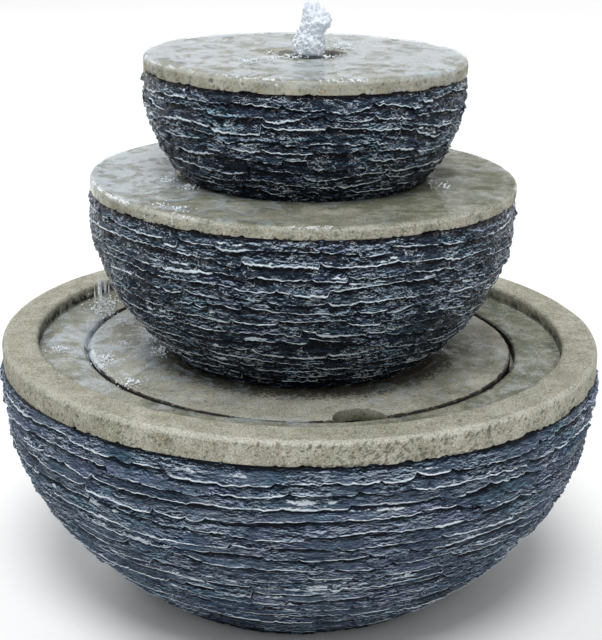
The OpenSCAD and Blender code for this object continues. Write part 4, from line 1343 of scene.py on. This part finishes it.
lid_film = water_film("water_on_lid", [
    (middle_foot_r + 3 * MM, TRAY_TOP), (LID_R - 1.4 * MM, TRAY_TOP),
    (LID_R, TRAY_TOP - 1.4 * MM), (LID_R, TRAY_TOP - 4 * MM)],
    1.8 * MM, 480, 103, lid_depth, lid_sheen, no_foam)
tray_film = water_film("water_in_tray", [
    (TRAY_IN_R, TRAY_TOP - 4 * MM), (TRAY_IN_R, TRAY_TOP - 1.2 * MM),
    (TRAY_IN_R + 1.2 * MM, TRAY_TOP), (TRAY_WALL_R - 1.4 * MM, TRAY_TOP),
    (TRAY_WALL_R - 0.3 * MM, TRAY_TOP + 1.2 * MM)],
    1.6 * MM, 560, 107, lambda a, r, way: lid_depth(a, r, way) + 0.3 * MM, lid_sheen, no_foam)
cut_notch(lid_film, 0.6 * MM)
dress(lid_film, water_film_finish, "deck", "water", sharp=60)
dress(tray_film, water_film_finish, "basin", "water", sharp=60)

# %% [markdown]
# ## Froth
# The jet breaks up as soon as it leaves the nozzle. It is built as a sculptor would build it in
# wax: many small balls are heaped along its course and melted together with a voxel remesh.
# Splashes are low heaps of smaller balls with loose drops round them, and threads of drops.

# %% Balls melted together
def melt(name, balls, voxel, body, *nodes):
    """Melts balls of (place, radius) into one lumpy piece of water."""
    deselect()
    bpy.ops.mesh.primitive_ico_sphere_add(subdivisions=2, radius=1)
    ball = bpy.context.object
    copies = []
    for place, radius in balls:
        copy = ball.copy()
        copy.data = ball.data.copy()
        copy.data.transform(Matrix.Translation(Vector(place)) @ Matrix.Scale(radius, 4))
        bpy.context.scene.collection.objects.link(copy)
        copies.append(copy)
    bpy.data.objects.remove(ball)
    piece = joined(copies[0], copies[1:])
    piece.name = piece.data.name = name
    piece.data.remesh_voxel_size = voxel
    bpy.ops.object.voxel_remesh()
    apply_modifier(piece, "SMOOTH", iterations=2)
    store(piece, "spray", np.full(len(piece.data.vertices), not nodes))
    dress(piece, water_froth_finish, body, "water", *nodes, sharp=80)


# %% Splashes and threads of drops
def place_at(angle, radius, height):
    """A place from its bearing in degrees from the front, radius and height in millimetres."""
    a = math.radians(angle)
    return (radius * MM * math.sin(a), -radius * MM * math.cos(a), height * MM)


def splash(dice, centre, width, height, count):
    """Balls of one splash: a low mound, and half as many loose drops round it."""
    def ball(bearing, reach, lift, radius):
        return ((centre[0] + reach * math.cos(bearing), centre[1] + reach * math.sin(bearing),
                 centre[2] + lift), radius * MM)

    balls = []
    for _ in range(count):
        bearing, reach = dice.uniform(0, TURN), width * dice.uniform() ** 0.8
        lift = height * dice.uniform() ** 2 * (1 - reach / width * 0.7)
        balls.append(ball(bearing, reach, lift, dice.uniform(0.35, 0.72)))
    for _ in range(count // 2):
        bearing, reach = dice.uniform(0, TURN), width * dice.uniform(0.9, 2.1)
        lift = height * dice.uniform() ** 3
        balls.append(ball(bearing, reach, lift, dice.uniform(0.3, 0.55)))
    return balls


def splashes(dice, base, places):
    """Balls of splashes of (bearing, radius, width, height, count) on a surface."""
    balls = []
    for angle, radius, width, height, count in places:
        balls += splash(dice, place_at(angle, radius, base), width * MM, height * MM, count)
    return balls


def strand(dice, start, end, rise, size):
    """Balls along one thrown thread of water, thick and thin by turns."""
    steps = max(4, round(math.dist(start, end) / (0.8 * size)))
    beads = []
    for k in range(steps + 1):
        t = k / steps
        place = [a + (b - a) * t for a, b in zip(start, end)]
        place[2] += 4 * rise * t * (1 - t)
        beads.append((tuple(place), size * (0.65 + 0.35 * math.sin(9 * t + 5 * start[0] / MM)
                                            + 0.15 * dice.uniform(-1, 1))))
    return beads


# %% [markdown]
# The jet leans to the right and is widest below its tip, as the photo shows it. Its rings give
# the middle and the radius at each height, and the balls fill them as seeds fill a sunflower.

# %% The jet
JET_RINGS = ((0.0, 1.6, 10.8), (0.25, 2.0, 11.0), (0.43, 3.0, 9.2), (0.62, 6.9, 10.8),
             (0.74, 6.1, 9.2), (0.84, 4.2, 7.0), (0.95, 2.9, 4.6), (1.0, 2.5, 2.6))
jet_lo, jet_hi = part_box("water_jet")
GOLDEN_TURN = 2.39996
JET_LAYERS, JET_DROPS = 24, 260


def jet_ring(t):
    """Height, middle and radius of the jet at a share of its height."""
    shares, middles, radii = zip(*JET_RINGS)
    return (jet_lo.z + t * (jet_hi.z - jet_lo.z), np.interp(t, shares, middles) * MM,
            np.interp(t, shares, radii) * MM)


dice = np.random.default_rng(131)
jet_balls = []
for t in np.linspace(0.03, 0.97, JET_LAYERS):
    z, middle, wide = jet_ring(t)
    size = min(2.6 * MM, wide * 0.7)
    count = max(1, int(2.2 * (wide / size) ** 2))
    for k in range(count):
        reach = (wide - size) * math.sqrt((k + 0.5) / count)
        place = (middle + reach * math.cos(k * GOLDEN_TURN + 9 * t),
                 reach * math.sin(k * GOLDEN_TURN + 9 * t),
                 min(max(z, jet_lo.z + size), jet_hi.z - size))
        jet_balls.append((place, size * dice.uniform(0.85, 1.08)))
for _ in range(JET_DROPS):
    z, middle, wide = jet_ring(dice.uniform(0.03, 0.95))
    size = dice.uniform(0.6, 1.1) * MM
    bearing, reach = dice.uniform(0, TURN), wide - size + dice.uniform(-0.4, 0.3) * MM
    jet_balls.append(((middle + reach * math.cos(bearing), reach * math.sin(bearing),
                       min(max(z, jet_lo.z + size), jet_hi.z - size)), size))
melt("jet_of_water", jet_balls, 0.5 * MM, "top_bowl", "water_jet")

# %% [markdown]
# Water splashes where it lands. On the caps the splashes are low, and at the left, where most of
# it falls from the middle cap, they are taller and threads of drops hang in the air above them.

# %% The splashes on the caps
TOP_WATER, MIDDLE_WATER, LID_WATER = 360.6, 282.6, 164.8  # heights in mm
dice = np.random.default_rng(137)
melt("splashes_on_top_cap", splashes(dice, TOP_WATER, (
    (318, 32, 5, 1.2, 16), (319, 50, 7, 1.2, 26), (325, 22, 4, 2.5, 22), (345, 21, 4, 1.5, 16),
    (151, 52, 8, 1.2, 24), (135, 36, 6, 1.0, 14), (44, 21, 4, 2.0, 14),
    (270, 22, 4, 1.5, 12))), 0.3 * MM, "top_bowl")
melt("splashes_on_middle_cap", splashes(dice, MIDDLE_WATER, (
    (290, 92, 5, 4, 34), (305, 88, 4, 3, 22), (325, 128, 6, 0.8, 16), (318, 128, 5, 0.8, 12),
    (70, 96, 5, 3, 24), (200, 100, 6, 4, 24))), 0.3 * MM, "middle_bowl")

# %% The splashes on the lid and in the tray
lid_splashes = splashes(dice, LID_WATER, (
    (271, 99, 7, 9, 60), (288, 98, 6, 7, 44), (309, 137, 6, 2.5, 40), (289, 134, 7, 2.5, 44),
    (276, 120, 5, 2, 20), (256, 128, 8, 5, 40), (120, 112, 7, 5, 40), (160, 108, 6, 4, 24)))
for _ in range(16):
    far = dice.uniform()
    bearing = 271 + dice.normal(0, 4 + 6 * far)
    end = place_at(bearing, 99 + 24 * far, 166 + 13 * dice.uniform() * (1 - far))
    start = place_at(271 + dice.normal(0, 1.5), 96, 165)
    lid_splashes += strand(dice, start, end, 2 * MM, (0.6 - 0.25 * far) * MM)
melt("splashes_on_lid", lid_splashes, 0.33 * MM, "deck")
tray_splashes = splashes(dice, LID_WATER, (
    (249, 152, 9, 12, 70), (241, 160, 7, 6, 36), (280, 163, 6, 2.5, 26), (131, 160, 7, 7, 40)))
for _ in range(12):
    bearing, radius = 249 + dice.normal(0, 2.2), 152 + dice.normal(0, 2)
    start = place_at(bearing, radius, 165 + dice.uniform(0, 12))
    end = place_at(bearing + dice.normal(0, 0.4), radius, 178 + dice.uniform(0, 16))
    tray_splashes += strand(dice, start, end, 0, 0.4 * MM)
melt("splashes_in_tray", tray_splashes, 0.33 * MM, "basin")

# %% [markdown]
# ## The pump and its fittings
# These parts hide in the basin until the lid comes off. Their solids already have the right
# shapes, so they only get their finishes: rubber with a dull bloom, moulded plastic with its
# grain and the lime that hard water leaves, a brushed steel clip, a ferrite magnet, and a
# ceramic shaft.

# %% Rubber and moulded plastic
def rubber_finish():
    shop = Shop("black_rubber")
    bloom = shop.noise(240, 4, rough=0.65)
    dust = shop.noise(2200, 2, shift=(3, 1, 1))
    face = shop.mix(bloom.between(0.42, 0.7) * 0.6, (0.012, 0.012, 0.013), (0.060, 0.061, 0.064))
    dent = shop.bump(dust, 0.08 * MM, 0.5)
    return shop.finish(Base_Color=face, Roughness=0.5 + 0.3 * bloom, Normal=dent, IOR=1.5)


def plastic_finish(name, ground, gloss, lime):
    """Moulded plastic: its gloss is a roughness, and lime the share that hard water whitens."""
    shop = Shop(name)
    grain = shop.noise(2600, 2)
    flow = shop.noise(90, 3, (1, 1, 0.3))
    crust = shop.noise(190, 4, (1, 1, 0.45), 0.7, (4, 2, 8)).between(0.56, 0.72) * lime
    face = shop.mix(flow.between(0.35, 0.65) * 0.4, ground, scaled(ground, 1.5))
    face = shop.mix(crust, face, (0.52, 0.53, 0.48))
    dent = shop.bump(grain, 0.1 * MM, 0.35)
    dent = shop.bump(crust, 0.2 * MM, 0.5, dent)
    return shop.finish(Base_Color=face, Roughness=gloss + 0.16 * grain + 0.25 * crust,
                       Normal=dent, IOR=1.46)


black_rubber = rubber_finish()
nozzle_black = plastic_finish("nozzle_black", (0.012, 0.013, 0.015), 0.20, 0.3)
pump_charcoal = plastic_finish("pump_charcoal", (0.022, 0.024, 0.026), 0.36, 0.45)
impeller_white = plastic_finish("impeller_white", (0.46, 0.45, 0.40), 0.30, 0.15)
slider_grey = plastic_finish("slider_grey", (0.20, 0.21, 0.22), 0.34, 0.2)


# %% Steel, ferrite and ceramic
def steel_finish():
    shop = Shop("brushed_steel")
    brushed = shop.noise(420, 3, (0.3, 0.3, 9.0), 0.6)
    tarnish = shop.noise(160, 3, shift=(2, 5, 1)).between(0.5, 0.75)
    face = shop.mix(tarnish * 0.7, (0.62, 0.62, 0.61), (0.34, 0.27, 0.19))
    return shop.finish(Base_Color=face, Metallic=1.0 - 0.35 * tarnish,
                       Roughness=0.26 + 0.2 * brushed + 0.2 * tarnish,
                       Normal=shop.bump(brushed, 0.05 * MM, 0.4))


def ferrite_finish():
    shop = Shop("ferrite")
    rings = shop.noise(150, 2, (0.4, 6.0, 0.4), 0.6)
    chip = shop.noise(900, 3, rough=0.7)
    face = shop.mix(chip.between(0.4, 0.66), (0.030, 0.031, 0.034), (0.075, 0.076, 0.080))
    dent = shop.bump(rings, 0.08 * MM, 0.4)
    return shop.finish(Base_Color=face, Metallic=0.25 * chip, Roughness=0.42 + 0.2 * rings,
                       Normal=shop.bump(chip, 0.05 * MM, 0.4, dent))


def ceramic_finish():
    shop = Shop("ceramic")
    speck = shop.noise(3000, 2, rough=0.7)
    worn = shop.noise(260, 3, (1, 4, 1), shift=(2, 2, 2)).between(0.5, 0.7)
    face = shop.mix(worn * 0.5, (0.80, 0.79, 0.74), (0.52, 0.50, 0.45))
    face = shop.mix((1 - speck).between(0.62, 0.7) * 0.5, face, (0.25, 0.24, 0.22))
    return shop.finish(Base_Color=face, Roughness=0.16 + 0.25 * worn,
                       Normal=shop.bump(speck, 0.03 * MM, 0.3))


brushed_steel = steel_finish()
ferrite = ferrite_finish()
ceramic = ceramic_finish()

# %% Finishes on the solids that stay
fittings = {
    black_rubber: ("basin_feet", "cord_grommet", "nozzle_washer", "pump_suction_feet",
                   "pump_cord_gland", "shaft_bush_front", "shaft_bush_rear", "chamber_seal"),
    nozzle_black: ("jet_nozzle", "nozzle_nut"),
    pump_charcoal: ("impeller_chamber", "pump_housing", "pump_intake_cover"),
    impeller_white: ("impeller",), slider_grey: ("flow_slider",), brushed_steel: ("hose_clip",),
    ferrite: ("rotor_magnet",), ceramic: ("rotor_shaft",)}
for finish, names in fittings.items():
    for name in names:
        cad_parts[name].material_slots[0].material = finish
    print(finish.name, "on", ", ".join(names))

# %% [markdown]
# ## Hose and filter
# The riser hose is soft tube, pushed over the pump's outlet and over the nozzle's spigot, so it
# swells a little at both ends and isn't quite even between them. It is turned like the stone, from
# an outline of its wall. The filter is a block of open foam: a cube is subdivided, its corners
# are drawn in, and its skin is broken by pores.

# %% Hose
def hose_finish():
    shop = Shop("smoky_hose")
    cloud = shop.noise(60, 3, (1, 1, 0.25))
    algae = shop.noise(150, 4, (1, 1, 0.5), 0.65, (3, 3, 3)).between(0.5, 0.72)
    face = shop.mix(cloud.between(0.3, 0.7) * 0.6, (0.060, 0.066, 0.068), (0.115, 0.122, 0.122))
    face = shop.mix(algae * 0.55, face, (0.050, 0.060, 0.028))
    return shop.finish(Base_Color=face, Roughness=0.18 + 0.25 * algae, IOR=1.5,
                       Normal=shop.bump(shop.noise(700, 2), 0.1 * MM, 0.3))


smoky_hose = hose_finish()
hose_lo, hose_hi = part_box("riser_hose")
HOSE_R, BORE_R, SPIGOT_L, HOSE_STEP = hose_hi.x, 4.5 * MM, 14 * MM, 3 * MM
END_BEND, SWELL = 0.8 * MM, 0.25 * MM
hose_z = np.linspace(hose_lo.z, hose_hi.z, round((hose_hi.z - hose_lo.z) / HOSE_STEP) + 1)
from_end = np.minimum(hose_z - hose_z[0], hose_z[-1] - hose_z)
swell = SWELL * (1 - smooth(from_end, SPIGOT_L - 3 * MM, SPIGOT_L + 2 * MM))
swell -= 0.5 * MM * (1 - smooth(from_end, 0, 0.6 * MM))
outside = [(HOSE_R + grow, z) for grow, z in zip(swell, hose_z)]
outside.insert(1, (HOSE_R + SWELL, hose_lo.z + END_BEND))
outside.insert(-1, (HOSE_R + SWELL, hose_hi.z - END_BEND))
inside = [(BORE_R, hose_hi.z), (BORE_R, hose_lo.z + SPIGOT_L), (BORE_R, hose_lo.z)]
hose = turned("soft_riser_hose", outside + inside, 48)
spots = read_points(hose)
angle, radius = polar(spots)
dimple = 0.12 * MM * rumple(angle, spots[:, 2], 7, 18 * MM, 151)
dimple *= radius > 0.5 * (HOSE_R + BORE_R)
write_points(hose, from_polar(angle, radius + dimple, spots[:, 2]))
dress(hose, smoky_hose, "basin", "hose", "riser_hose")


# %% Filter sponge
def foam_finish():
    shop = Shop("filter_foam")
    cell = shop.node("ShaderNodeTexVoronoi", {"feature": "F1"},
                     {"Vector": shop.place, "Scale": 900.0}, output="Distance")
    silt = shop.noise(120, 4, rough=0.65)
    face = shop.mix(cell.between(0.15, 0.55), (0.075, 0.080, 0.078), (0.006, 0.006, 0.006))
    face = shop.mix(silt.between(0.5, 0.7) * 0.4, face, (0.070, 0.062, 0.038))
    return shop.finish(Base_Color=face, Roughness=0.85 + 0.1 * silt,
                       Normal=shop.bump(1 - cell, 0.8 * MM, 0.8))


filter_foam = foam_finish()
FOAM_CUTS, PORE, CORNER = 30, 0.35 * MM, 1.2 * MM
foam_lo, foam_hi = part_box("filter_sponge")
foam_mid, foam_half = (foam_lo + foam_hi) / 2, (foam_hi - foam_lo) / 2
deselect()
bpy.ops.mesh.primitive_cube_add(size=2)
foam = bpy.context.object
foam.name = foam.data.name = "open_cell_filter"
bpy.ops.object.mode_set(mode="EDIT")
bpy.ops.mesh.select_all(action="SELECT")
bpy.ops.mesh.subdivide(number_cuts=FOAM_CUTS)
bpy.ops.mesh.normals_make_consistent(inside=False)
bpy.ops.object.mode_set(mode="OBJECT")
half = np.array(foam_half)
spots = read_points(foam) * half
core = np.clip(spots, CORNER - half, half - CORNER)
away = spots - core
length = np.maximum(np.linalg.norm(away, axis=1), 1e-9)
dice = np.random.default_rng(157)
reach = np.minimum(length, CORNER) - PORE * dice.uniform(0, 1, len(spots)) ** 2
spots = core + away / length[:, None] * reach[:, None]
write_points(foam, spots + np.array(foam_mid))
dress(foam, filter_foam, "intake_cover", "sponge", "filter_sponge", sharp=180)

# %% [markdown]
# ## Floor
# A wide pale disc that only catches the shadow. It is stage, and no part of the fountain.

# %% Floor
FLOOR_R = 9
deselect()
bpy.ops.mesh.primitive_circle_add(vertices=96, radius=FLOOR_R, fill_type="NGON")
floor = bpy.context.object
floor.name = "floor"
shop = Shop("pale_floor")
floor.data.materials.append(shop.finish(Base_Color=(0.93, 0.93, 0.93), Roughness=0.9))
print("floor: radius", FLOOR_R, "m")

# %% View transform
bpy.context.scene.view_settings.view_transform = "Standard"
